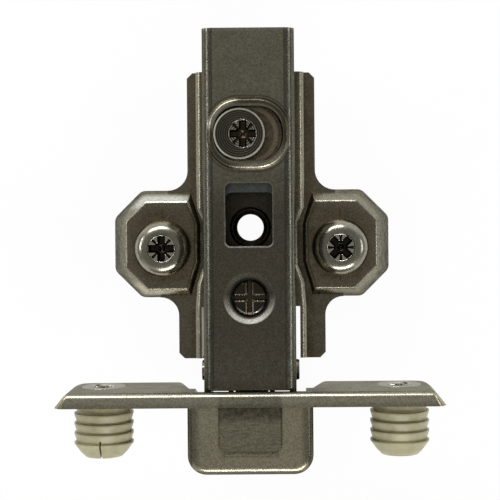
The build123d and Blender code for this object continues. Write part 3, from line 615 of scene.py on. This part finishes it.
def from_ring(tree, x, y, centre, radius):
    """Distance from a circle, less than nought inside it."""
    return from_frame(tree, x, y, centre, (radius, radius), radius)


def product(tree, *values):
    """All the values multiplied together."""
    total = values[0]
    for value in values[1:]:
        total = sum_of(tree, total, value, "MULTIPLY")
    return total


def band(tree, value, low, high, soft=0.1):
    """1 from low to high, with soft ends."""
    return product(tree, ramp(tree, value, low - soft, low + soft), ramp(tree, value, high + soft, high - soft))


def tint(tree, colour, towards, *masks):
    """The colour blended towards another one where all the masks overlap."""
    return blend(tree, product(tree, *masks), colour, towards)


print("bands ready")

# %% [markdown]
# All steel finishes start from one function: two tints mixed by the clouds and the grain, a
# roughness that follows the same clouds, and dents from the grain's height. Each piece passes its
# tints and sizes, and may add bands, streaks or rings of its own. Last come painted glints, tiny
# grains painted brighter, and the tiny pits that stay dark.

# %% The plated steel recipe
EDGE_TINT = (0.5, 0.49, 0.44)
GLINT, PIT = 0.8, 2.2


def steel(name, light, dark, rough=(0.24, 0.36), grain=0.26, cloud=3.0, bump=0.2, cloud_share=0.4, marks=None,
          salt=0.16):
    """A plated steel material. marks(tree, place, colour, height) returns its colour and height, and
    salt is how strongly the brightest grains show."""
    material = bpy.data.materials.new(name)
    material.use_nodes = True
    tree = material.node_tree
    shader = tree.nodes["Principled BSDF"]
    shader.inputs["Metallic"].default_value = 1.0
    shader.inputs["Specular Tint"].default_value = (*EDGE_TINT, 1)
    place = millimetres(tree)
    plating = use_group(tree, satin, Place=place, Grain_Size=grain, Cloud_Size=cloud)
    dull = sum_of(tree, product(tree, plating["Cloud"], cloud_share),
                  product(tree, plating["Grain"], 1 - cloud_share))
    colour, height = blend(tree, dull, light, dark), plating["Height"]
    if marks is not None:
        colour, height = marks(tree, place, colour, height)
    painted_glints_and_pits = use_group(tree, satin, Place=place, Grain_Size=0.17, Cloud_Size=0.3)
    # painted glints: tiny grains painted brighter, then tiny dark pits
    colour = tint(tree, colour, (0.62, 0.59, 0.5), painted_glints_and_pits["Grain"], salt * GLINT)
    colour = tint(tree, colour, (0.01, 0.009, 0.007), painted_glints_and_pits["Cloud"], salt * PIT)
    dents = add(tree, "Bump", Strength=bump, Distance=0.012 * MM, Height=height)
    tree.links.new(colour, shader.inputs["Base Color"])
    tree.links.new(ramp(tree, dull, 0.1, 0.9, rough), shader.inputs["Roughness"])
    tree.links.new(dents.outputs[0], shader.inputs["Normal"])
    return material


def dress(material, *names):
    """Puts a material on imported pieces, by their slots, or on a new piece."""
    for name in names:
        o = nodes[name] if name in nodes else bpy.data.objects[name]
        if not o.material_slots:
            o.data.materials.append(material)
        for place in o.material_slots:
            place.material = material


print("recipe ready")

# %% [markdown]
# The arm is nickel over a folded sheet. Its flat top is satin and sandy, with a painted dark
# reflection from the slot forward, and blotchy at its very front. The long bends carry straight
# tool lines and painted shade, darkest in a line along each crease. Round the punched window, the
# slot's rim and the dimple lie painted highlights and painted shade.

# %% Arm
ARM_HALF, ARM_BEND = 7.9, 1.7
SLOT_Y, SLOT_HALF, SLOT_CORNER = 19.8, (7.05, 6.2), 5.4
WINDOW_CENTRE, WINDOW_HALF, WINDOW_CORNER = (0.0, 6.025), (4.0, 5.375), 0.9
DIMPLE_R = 3.4


def arm_marks(tree, place, colour, height):
    """Tool lines and painted shade on the bends, a painted dark reflection towards the front, and painted
    highlights and shade round the cut-outs.
    """
    x, y, z = parts_of(tree, place)
    out = size_of(tree, x)
    bend = ramp(tree, out, ARM_HALF - ARM_BEND - 0.2, ARM_HALF - ARM_BEND + 0.3)
    # painted dark reflection on the flat top, growing from the slot forward
    painted_dark_reflection = ramp(tree, y, 17.0, 5.0)
    colour = tint(tree, colour, (0.075, 0.06, 0.042), painted_dark_reflection, 0.7)
    blotch = use_group(tree, satin, Place=place, Grain_Size=0.5, Cloud_Size=1.3)["Cloud"]
    colour = tint(tree, colour, (0.22, 0.2, 0.15), blotch, ramp(tree, y, -14.0, -18.0), 0.35)
    lines = use_group(tree, streak, Place=place, Stretch=(3.2, 0.02, 3.2))["Streaks"]
    nicks = use_group(tree, streak, Place=place, Stretch=(5.0, 0.5, 5.0))["Streaks"]
    # painted shade: the bends are painted much darker than the top
    colour = tint(tree, colour, (0.06, 0.057, 0.042), bend, 0.85)
    colour = tint(tree, colour, (0.13, 0.13, 0.1), lines, bend, 0.7)
    colour = tint(tree, colour, (0.4, 0.4, 0.34), nicks, lines, bend, 0.3)
    # painted shade: a dark line along the crease where a bend meets the top
    crease = band(tree, out, ARM_HALF - ARM_BEND - 0.15, ARM_HALF - ARM_BEND + 0.1, 0.12)
    colour = tint(tree, colour, (0.035, 0.03, 0.022), crease, 0.6)
    colour = tint(tree, colour, (0.5, 0.48, 0.42), ramp(tree, y, 37.1, 37.6), nicks, 0.6)
    # the slot's raised rim: painted shade, dark bronze, behind, painted highlights at its upper left and front,
    # with a dark seam of painted shade outside it
    rim = from_frame(tree, x, y, (0.0, SLOT_Y), SLOT_HALF, SLOT_CORNER)
    lower = ramp(tree, y, SLOT_Y - 1.0, SLOT_Y - 5.0)
    left = ramp(tree, x, -1.0, -4.0)
    on_rim = band(tree, rim, -1.1, -0.05, 0.12)
    colour = tint(tree, colour, (0.08, 0.062, 0.04), on_rim, 0.9)
    upper_left = product(tree, left, ramp(tree, y, SLOT_Y, SLOT_Y + 2.0))
    painted_rim_highlight = sum_of(tree, upper_left, product(tree, lower, ramp(tree, x, -4.0, 1.0)), "MAXIMUM")
    colour = tint(tree, colour, (0.5, 0.47, 0.37), on_rim, painted_rim_highlight, 0.9)
    colour = tint(tree, colour, (0.05, 0.042, 0.03), band(tree, rim, 0.1, 0.4, 0.12), 0.6)
    # painted highlight round the window's edge, brightest at its front
    window = from_frame(tree, x, y, WINDOW_CENTRE, WINDOW_HALF, WINDOW_CORNER)
    edge = band(tree, window, -0.1, 0.22, 0.08)
    front = ramp(tree, y, 1.6, 0.7)
    colour = tint(tree, colour, (0.32, 0.3, 0.24), edge, 0.75)
    colour = tint(tree, colour, (0.75, 0.73, 0.66), edge, front)
    # dimple of the side screw: painted shade on its slope, a soft bright crescent of painted highlight at its
    # front, and painted black shade round the screw
    dimple = from_ring(tree, x, y, (0.0, SIDE_Y), DIMPLE_R)
    crescent = ramp(tree, y, SIDE_Y + 1.0, SIDE_Y - 2.5)
    slope = band(tree, dimple, 0.1, 0.95, 0.18)
    colour = tint(tree, colour, (0.12, 0.11, 0.09), slope, 0.7)
    colour = tint(tree, colour, (0.72, 0.71, 0.64), slope, crescent)
    colour = tint(tree, colour, (0.012, 0.01, 0.008), ramp(tree, dimple, 0.1, -0.1))
    smooth = sum_of(tree, 1.0, product(tree, bend, 0.85), "SUBTRACT")
    return colour, product(tree, height, smooth)


nickel_arm = steel("nickel_arm", (0.37, 0.345, 0.265), (0.15, 0.138, 0.1), marks=arm_marks)
dress(nickel_arm, "arm")
print(nickel_arm.name)

# %% [markdown]
# The plate's flat parts are dark, brown and grainy. Its drawn skirts are smoother, since the die
# stretched and rubbed them, and painted lighter as a painted reflection, with painted shadow at
# their foot and painted highlights just under the crease. How far a face tips from level tells the
# two apart. Short ticks in line with the screws, that help to set the plate, are thin dark bars.

# %% Mounting plate
COLLAR_Y, COLLAR_R = 3.7, 3.6
WING_END, WING_MIDDLE_Y, WING_HALF_Y, WING_CUT = 24.9, 0.7, 9.7, 29.7


def plate_marks(tree, place, colour, height):
    """Painted light and shade on the drawn skirts and wing edges, painted shade in the window, and ticks in
    line with the screws.
    """
    x, y, z = parts_of(tree, place)
    level = parts_of(tree, add(tree, "TexCoord").outputs["Normal"])[2]
    drawn = ramp(tree, level, 0.985, 0.85)
    out = size_of(tree, x)
    wing = ramp(tree, out, 10.8, 11.6)
    # the wing's outline is an octagon: the nearest of its sides, ends and cut corners counts
    past_end = sum_of(tree, out, WING_END, "SUBTRACT")
    off_middle = size_of(tree, sum_of(tree, y, WING_MIDDLE_Y, "SUBTRACT"))
    past_side = sum_of(tree, off_middle, WING_HALF_Y, "SUBTRACT")
    past_cut = product(tree, sum_of(tree, sum_of(tree, out, off_middle), WING_CUT, "SUBTRACT"), math.sqrt(0.5))
    outline = sum_of(tree, sum_of(tree, past_end, past_side, "MAXIMUM"), past_cut, "MAXIMUM")
    # painted highlight: the plateau is painted lighter near its outline, so that its edge looks rounded
    rounding = product(tree, wing, ramp(tree, outline, -4.0, -2.3))
    colour = tint(tree, colour, (0.26, 0.24, 0.18), rounding, 0.45)
    # painted shadow at the foot of the drawn skirts, and a painted reflection that lightens them towards the
    # crease
    skirt = blend(tree, ramp(tree, z, 0.6, 2.6), (0.06, 0.056, 0.043), (0.32, 0.305, 0.235))
    colour = tint(tree, colour, skirt, drawn, 0.85)
    ends = product(tree, drawn, ramp(tree, out, 22.2, 23.4))
    colour = tint(tree, colour, (0.07, 0.067, 0.052), ends, 0.55)
    runs = use_group(tree, streak, Place=place, Stretch=(0.8, 0.8, 3.0))["Streaks"]
    colour = tint(tree, colour, (0.5, 0.48, 0.38), drawn, runs, 0.25)
    # painted highlights on the back and front skirts of the wings, brighter to the left
    back = product(tree, drawn, ramp(tree, y, 6.5, 8.0), ramp(tree, z, 1.0, 2.4))
    colour = tint(tree, colour, (0.85, 0.85, 0.78), back, wing, ramp(tree, x, 14.0, -14.0), 0.9)
    before = product(tree, drawn, wing, ramp(tree, y, -5.5, -7.0), ramp(tree, z, 0.8, 2.0))
    colour = tint(tree, colour, (0.8, 0.76, 0.6), before, ramp(tree, x, 16.0, -16.0), 0.6)
    # painted highlight along the crease at the top of the wings' skirts
    crease = product(tree, wing, band(tree, z, 2.85, 3.15, 0.1), band(tree, level, 0.7, 0.97, 0.05))
    colour = tint(tree, colour, (0.4, 0.38, 0.3), crease, 0.3)
    # painted shade in the window under the arm, and painted shade on the collar of the middle hole
    collar = from_ring(tree, x, y, (0.0, COLLAR_Y), COLLAR_R)
    colour = tint(tree, colour, (0.05, 0.042, 0.03), ramp(tree, collar, 6.0, 3.4))
    colour = tint(tree, colour, (0.018, 0.016, 0.013), band(tree, collar, -1.1, 0.1))
    from_screw = sum_of(tree, out, WING_X, "SUBTRACT")
    ahead, beyond = band(tree, y, 5.4, 7.1), band(tree, y, -5.9, -5.35)
    tick = product(tree, band(tree, from_screw, -0.07, 0.07, 0.07), sum_of(tree, ahead, beyond),
                   ramp(tree, level, 0.9, 0.97))
    colour = tint(tree, colour, (0.018, 0.015, 0.012), tick, 0.8)
    height = product(tree, height, sum_of(tree, 1.0, product(tree, drawn, 0.8), "SUBTRACT"))
    return colour, sum_of(tree, height, product(tree, tick, 6.0), "SUBTRACT")


nickel_plate = steel("nickel_plate", (0.27, 0.222, 0.15), (0.085, 0.067, 0.042), (0.26, 0.4), marks=plate_marks)
dress(nickel_plate, "mounting_plate")
print(nickel_plate.name)

# %% [markdown]
# The cup's pocket was drawn deep, which leaves it smoother than the arm. Its tints are paler, a
# painted reflection, with painted shade along its rounded sides. The shallow field on its face is
# mottled, with a painted shadow under the flange, and finely scratched across below.

# %% Cup
FIELD_CENTRE, FIELD_HALF, FIELD_CORNER = (0.0, -24.7), (5.45, 10.0), 1.8


def cup_marks(tree, place, colour, height):
    """A mottled field on the pocket's face with a painted shadow under the flange, painted shade on the rounded
    sides and a painted highlight along the flange's bend.
    """
    x, y, z = parts_of(tree, place)
    out = size_of(tree, x)
    off_field = from_frame(tree, x, y, FIELD_CENTRE, FIELD_HALF, FIELD_CORNER)
    field = ramp(tree, off_field, 0.25, -0.5)
    blotch = use_group(tree, satin, Place=place, Grain_Size=0.4, Cloud_Size=0.8)["Cloud"]
    # painted shadow under the flange: the field is painted darker and mottled towards its top
    top = product(tree, field, ramp(tree, y, -29.8, -27.6))
    colour = tint(tree, colour, (0.08, 0.068, 0.047), top, 0.7)
    colour = tint(tree, colour, (0.045, 0.038, 0.027), blotch, top, 0.7)
    runs = use_group(tree, streak, Place=place, Stretch=(0.7, 3.5, 3.5))["Streaks"]
    low = product(tree, field, ramp(tree, y, -27.8, -29.6))
    colour = tint(tree, colour, (0.16, 0.145, 0.1), low, 0.25)
    colour = tint(tree, colour, (0.12, 0.108, 0.075), runs, low, 0.4)
    # painted highlight on the step round the field's sides and lower end
    step = band(tree, off_field, -0.1, 0.3, 0.2)
    colour = tint(tree, colour, (0.5, 0.47, 0.35), step, ramp(tree, y, -26.6, -27.2), 0.4)
    # painted shade: a dark line along the lower edge of the field
    lower_edge = product(tree, band(tree, y, -34.9, -34.0, 0.3), ramp(tree, out, 5.3, 4.6))
    colour = tint(tree, colour, (0.1, 0.09, 0.06), lower_edge, 0.45)
    # painted shade: the rounded sides and the lower end of the pocket, seen edge on, are painted as dark lines
    below = ramp(tree, y, -26.4, -26.8)
    side = product(tree, ramp(tree, out, 8.2, 9.6), below)
    colour = tint(tree, colour, (0.12, 0.11, 0.075), side, 0.6)
    rim = product(tree, below, sum_of(tree, ramp(tree, out, 9.6, 10.0), ramp(tree, y, -37.0, -37.5), "MAXIMUM"))
    colour = tint(tree, colour, (0.05, 0.045, 0.032), rim, ramp(tree, z, 12.0, 15.0), 0.8)
    # the flange's near side carries a painted highlight along its bend and painted shade towards its lower edge
    near = product(tree, ramp(tree, z, 16.6, 17.2), ramp(tree, y, -26.9, -26.3))
    colour = tint(tree, colour,
                  blend(tree, ramp(tree, y, -25.2, -26.5), (0.62, 0.585, 0.47), (0.28, 0.26, 0.2)), near,
                  0.55)
    smooth = sum_of(tree, 1.0, product(tree, sum_of(tree, rim, near, "MAXIMUM"), 0.7), "SUBTRACT")
    face = ramp(tree, y, -24.5, -24.1)
    colour = tint(tree, colour, (0.14, 0.135, 0.11), face, 0.7)
    return colour, product(tree, height, smooth)


# painted reflection: the cup's tints are much paler than the arm's
nickel_cup = steel("nickel_cup", (0.66, 0.61, 0.44), (0.37, 0.34, 0.235), (0.22, 0.32), cloud=4.0,
                   marks=cup_marks)
dress(nickel_cup, "leaned_hinge_cup")
print(nickel_cup.name)

# %% [markdown]
# The inner carrier and the links were zinc plated; their blue-grey tint is a painted reflection of
# dim bluish surroundings. The washer under the cam has gone brown with grease, and where the cam's
# edge slid on it a pale crescent is worn.

# %% Inner steel
def washer_marks(tree, place, colour, height):
    """A pale crescent, worn where the cam's edge slides."""
    x, y, z = parts_of(tree, place)
    worn = band(tree, from_ring(tree, x, y, (0.0, CAM_Y), 4.7), -0.4, 0.4, 0.12)
    colour = tint(tree, colour, (0.4, 0.35, 0.25), worn, 0.7)
    return colour, height


# painted reflection: carrier and links tinted blue-grey
zinc_inner = steel("zinc_inner", (0.22, 0.245, 0.25), (0.11, 0.125, 0.13), (0.3, 0.42), cloud=2.0)
dress(zinc_inner, "carrier", "inner_link", "outer_link")
brown_washer = steel("brown_washer", (0.25, 0.195, 0.125), (0.09, 0.068, 0.042), (0.25, 0.4), cloud=1.2,
                     marks=washer_marks)
dress(brown_washer, "cam_washer")
print(zinc_inner.name, brown_washer.name)

# %% [markdown]
# Screws are turned and then nickel plated, so they are brighter than the sheet parts, with fine
# rings round their own axis, painted darker in their grooves as painted shade. Their recesses hold
# painted shade, and the lip of each recess is worn bright. The two screws of a pair share one material by
# folding left onto right.

# %% Screws
# near black used for painted shade in recesses and ring grooves
PAINTED_SHADE_DARK = (0.018, 0.015, 0.011)


def screw_marks(axis_at, face, reach, deep=PAINTED_SHADE_DARK, lip=(0.62, 0.6, 0.52), pitch=0.3, ring_share=0.5,
                upright=True, rings_at=None):
    """Rings round an axis with painted shade in their grooves, a bright lip just under the face and painted
    shade deeper down, within reach.
    """
    def marks(tree, place, colour, height):
        x, y, z = parts_of(tree, place)
        if axis_at[0] > 0:  # one of a pair, so the left one is folded onto the right one
            x = size_of(tree, x)
        other, level = (y, z) if upright else (z, y)
        r = from_ring(tree, x, other, axis_at, 0.0)
        ring_r = r if rings_at is None else from_ring(tree, x, other, rings_at, 0.0)
        wave = sum_of(tree, product(tree, ring_r, 2 * math.pi / pitch), 0.0, "SINE")
        inside = ramp(tree, r, reach + 0.1, reach - 0.1)
        colour = tint(tree, colour, lip, ramp(tree, level, face - 0.02, face - 0.1), inside, 0.85)
        # painted shade deeper in the recess
        colour = tint(tree, colour, deep, ramp(tree, level, face - 0.25, face - 0.7), inside)
        # painted shade in the grooves between the rings
        shade = product(tree, sum_of(tree, wave, 1.0), ring_share * 0.3)
        colour = tint(tree, colour, PAINTED_SHADE_DARK, shade)
        if rings_at is not None:
            rim = band(tree, ring_r, CAM_R - 0.3, CAM_R + 0.2, 0.08)
            colour = tint(tree, colour, lip, rim, 0.7)
        return colour, sum_of(tree, height, product(tree, wave, ring_share * 0.5))
    return marks


bright_screw = steel("bright_screw", (0.44, 0.42, 0.345), (0.24, 0.225, 0.18), (0.16, 0.26),
                     cloud=1.4, salt=0.04,
                     marks=screw_marks((WING_X, 0.0), WING_TOP + HEAD_RISE, 2.75, ring_share=0.25))
dress(bright_screw, "turned_wing_screw_left", "turned_wing_screw_right")
# painted highlight: the dowel screws are painted far lighter than the wing screws
dowel_screw = steel("bright_dowel_screw", (0.75, 0.74, 0.69), (0.45, 0.43, 0.38), (0.16, 0.24),
                    cloud=1.4, salt=0.04,
                    marks=screw_marks((DOWEL_X, DOWEL_Z), FLANGE_Y, 2.4, upright=False, ring_share=0.25))
dress(dowel_screw, "turned_dowel_screw_left", "turned_dowel_screw_right")
cam_steel = steel("dark_cam", (0.21, 0.195, 0.155), (0.1, 0.09, 0.07), (0.2, 0.3), cloud=1.5, salt=0.05,
                  marks=screw_marks((RECESS_SHIFT - CAM_THROW, CAM_Y), CAM_TOP, 2.45, (0.06, 0.04, 0.022),
                                    (0.62, 0.6, 0.5), pitch=RING_PITCH, ring_share=1.6,
                                    rings_at=(-CAM_THROW, CAM_Y)))
dress(cam_steel, "turned_cam_screw")


def side_marks(tree, place, colour, height):
    """Brown slots with painted highlights on their edges, brighter towards the front, between dark pads that
    carry slanting lines, and painted shade round the rim with a painted highlight at its front.
    """
    x, y, z = parts_of(tree, place)
    along_y = sum_of(tree, y, SIDE_Y, "SUBTRACT")
    nearer = sum_of(tree, size_of(tree, x), size_of(tree, along_y), "MINIMUM")
    slant = sum_of(tree, product(tree, sum_of(tree, x, along_y, "SUBTRACT"), 2 * math.pi / 0.55), 0.0, "SINE")
    colour = tint(tree, colour, (0.12, 0.105, 0.075), ramp(tree, slant, 0.2, 0.9), 0.4)
    colour = tint(tree, colour, (0.075, 0.058, 0.038), ramp(tree, nearer, 0.5, 0.35))
    # painted highlights on the slots' edges, brighter towards the front
    colour = tint(tree, colour, (0.5, 0.46, 0.36), band(tree, nearer, 0.4, 0.66, 0.1),
                  ramp(tree, along_y, 2.2, -1.6, (0.25, 0.8)))
    # painted shade round the head's rim, with a painted highlight at its front
    rim = band(tree, from_ring(tree, x, along_y, (0.0, 0.0), SIDE_R), -0.35, 0.05, 0.1)
    front = ramp(tree, along_y, -1.2, -2.4)
    colour = tint(tree, colour, (0.03, 0.027, 0.02), rim, 0.8)
    colour = tint(tree, colour, (0.8, 0.78, 0.7), rim, front)
    return colour, height


side_steel = steel("dark_side_screw", (0.045, 0.04, 0.03), (0.015, 0.013, 0.01), (0.22, 0.34),
                   cloud=1.0, salt=0.02, marks=side_marks)
dress(side_steel, "slotted_side_screw")
print("screws dressed")

# %% [markdown]
# Pins and spring are bare hard steel under a film of oil: darker, smoother and almost without
# clouds.

# %% Pins and spring
pin_steel = steel("oiled_pin", (0.3, 0.28, 0.25), (0.15, 0.138, 0.12), (0.18, 0.28), grain=0.2, cloud=1.5)
dress(pin_steel, "arm_pin_inner", "arm_pin_outer", "cup_pin_inner", "cup_pin_outer")
spring_steel = steel("oiled_spring", (0.26, 0.25, 0.23), (0.12, 0.112, 0.1), (0.16, 0.26),
                     grain=0.2, cloud=1.2)
dress(spring_steel, "round_closing_spring")
print(pin_steel.name, spring_steel.name)

# %% [markdown]
# The dowels are moulded nylon, ivory with a green tinge. Nylon lets light in a little and has a
# soft sheen. Crumbs of dust sit on it, and its barbs carry painted shade in the valleys.

# %% Nylon
nylon = bpy.data.materials.new("ivory_nylon")
nylon.use_nodes = True
tree = nylon.node_tree
shader = tree.nodes["Principled BSDF"]
shader.inputs["Roughness"].default_value = 0.42
shader.inputs["Subsurface Weight"].default_value = 0.25
shader.inputs["Subsurface Radius"].default_value = (1.0, 0.9, 0.6)
shader.inputs["Subsurface Scale"].default_value = 0.8 * MM
place = millimetres(tree)
marks = use_group(tree, satin, Place=place, Grain_Size=0.35, Cloud_Size=2.5)
dust = use_group(tree, speck, Place=place, Spacing=1.3, Share=0.22)["Specks"]
colour = blend(tree, marks["Cloud"], (0.42, 0.395, 0.245), (0.35, 0.325, 0.195))
x, y, z = parts_of(tree, place)
out = size_of(tree, x)
# painted shade in the valleys between the barbs
valley = ramp(tree, from_ring(tree, out, z, (DOWEL_X, DOWEL_Z), 5.0), 0.1, -0.25)
colour = tint(tree, colour, (0.27, 0.25, 0.15), valley, 0.15)
colour = tint(tree, colour, (0.16, 0.14, 0.1), dust, 0.5)
tree.links.new(colour, shader.inputs["Base Color"])
soft = add(tree, "Bump", Strength=0.25, Distance=0.01 * MM, Height=marks["Height"])
tree.links.new(soft.outputs[0], shader.inputs["Normal"])
dress(nylon, "dowel_left", "dowel_right")
print(nylon.name)

# %% [markdown]
# The hinge lies on a white table. The table shows white to the camera and to the metal that
# mirrors it, but part of it is ordinary paint, so a faint shadow stays under the hinge.

# %% Table
TABLE_HALF, GLOW_SHARE = 2.0, 0.95
floor_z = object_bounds()[0][2]
mesh = bpy.data.meshes.new("table")
mesh.from_pydata(
    [(u * TABLE_HALF, v * TABLE_HALF, floor_z) for u, v in ((-1, -1), (1, -1), (1, 1), (-1, 1))],
    [], [(0, 1, 2, 3)],
)
table = bpy.data.objects.new("table", mesh)
bpy.context.scene.collection.objects.link(table)
white = bpy.data.materials.new("white_table")
white.use_nodes = True
tree = white.node_tree
paint = tree.nodes["Principled BSDF"]
paint.inputs["Base Color"].default_value = (0.85, 0.85, 0.85, 1)
paint.inputs["Roughness"].default_value = 0.9
paint.inputs["Specular IOR Level"].default_value = 0.0
glow = add(tree, "Emission", Color=(1.0, 1.0, 1.0), Strength=1.0)
rays = tree.nodes.new("ShaderNodeLightPath").outputs
seen = sum_of(tree, sum_of(tree, rays["Is Camera Ray"], rays["Is Glossy Ray"], "MAXIMUM"),
              rays["Is Transmission Ray"], "MAXIMUM")
mixed = add(tree, "MixShader", in_0=sum_of(tree, seen, GLOW_SHARE, "MULTIPLY"),
            in_1=paint.outputs[0], in_2=glow.outputs[0])
tree.links.new(mixed.outputs[0], tree.nodes["Material Output"].inputs["Surface"])
table.data.materials.append(white)
print("table at", round(floor_z / MM, 2), "mm")

# %% [markdown]
# Metal shows what is round it. Overhead it is dim, so the flat tops stay a deep nickel grey, and
# low down it is pale. Two long soft lamps, at the hinge's back and front, draw the bright lines
# along bends and domes.

# %% Surroundings and lamps
world = bpy.data.worlds.new("room")
bpy.context.scene.world = world
world.use_nodes = True
tree = world.node_tree
sky = tree.nodes["Background"]
way_out = add(tree, "TexCoord").outputs["Generated"]
up = parts_of(tree, way_out)[2]
lengthways = size_of(tree, parts_of(tree, way_out)[1])
ring = blend(tree, ramp(tree, lengthways, 0.2, 0.8), (0.3, 0.3, 0.28), (0.85, 0.85, 0.83))
dim = blend(tree, ramp(tree, up, 0.35, 0.85), ring, (0.27, 0.265, 0.25))
pale = blend(tree, ramp(tree, up, 0.1, 0.02), dim, (0.95, 0.95, 0.95))
tree.links.new(pale, sky.inputs["Color"])
sky.inputs["Strength"].default_value = 1.0


def soft_lamp(name, place, size, watts):
    """A rectangular lamp that faces the hinge."""
    light = bpy.data.lights.new(name, "AREA")
    light.shape = "RECTANGLE"
    light.size, light.size_y = size
    light.energy = watts
    lamp = bpy.data.objects.new(name, light)
    lamp.location = place
    lamp.rotation_euler = (-Vector(place)).to_track_quat("-Z", "Y").to_euler()
    bpy.context.scene.collection.objects.link(lamp)


soft_lamp("back_lamp", (-0.15, 0.5, 0.42), (0.5, 0.16), 2.6)
soft_lamp("front_lamp", (0.1, -0.5, 0.4), (0.45, 0.14), 2.0)
soft_lamp("left_lamp", (-0.55, 0.1, 0.35), (0.3, 0.1), 0.6)
soft_lamp("right_lamp", (0.55, 0.0, 0.35), (0.3, 0.1), 0.4)
print("lamps", len(bpy.data.lights))
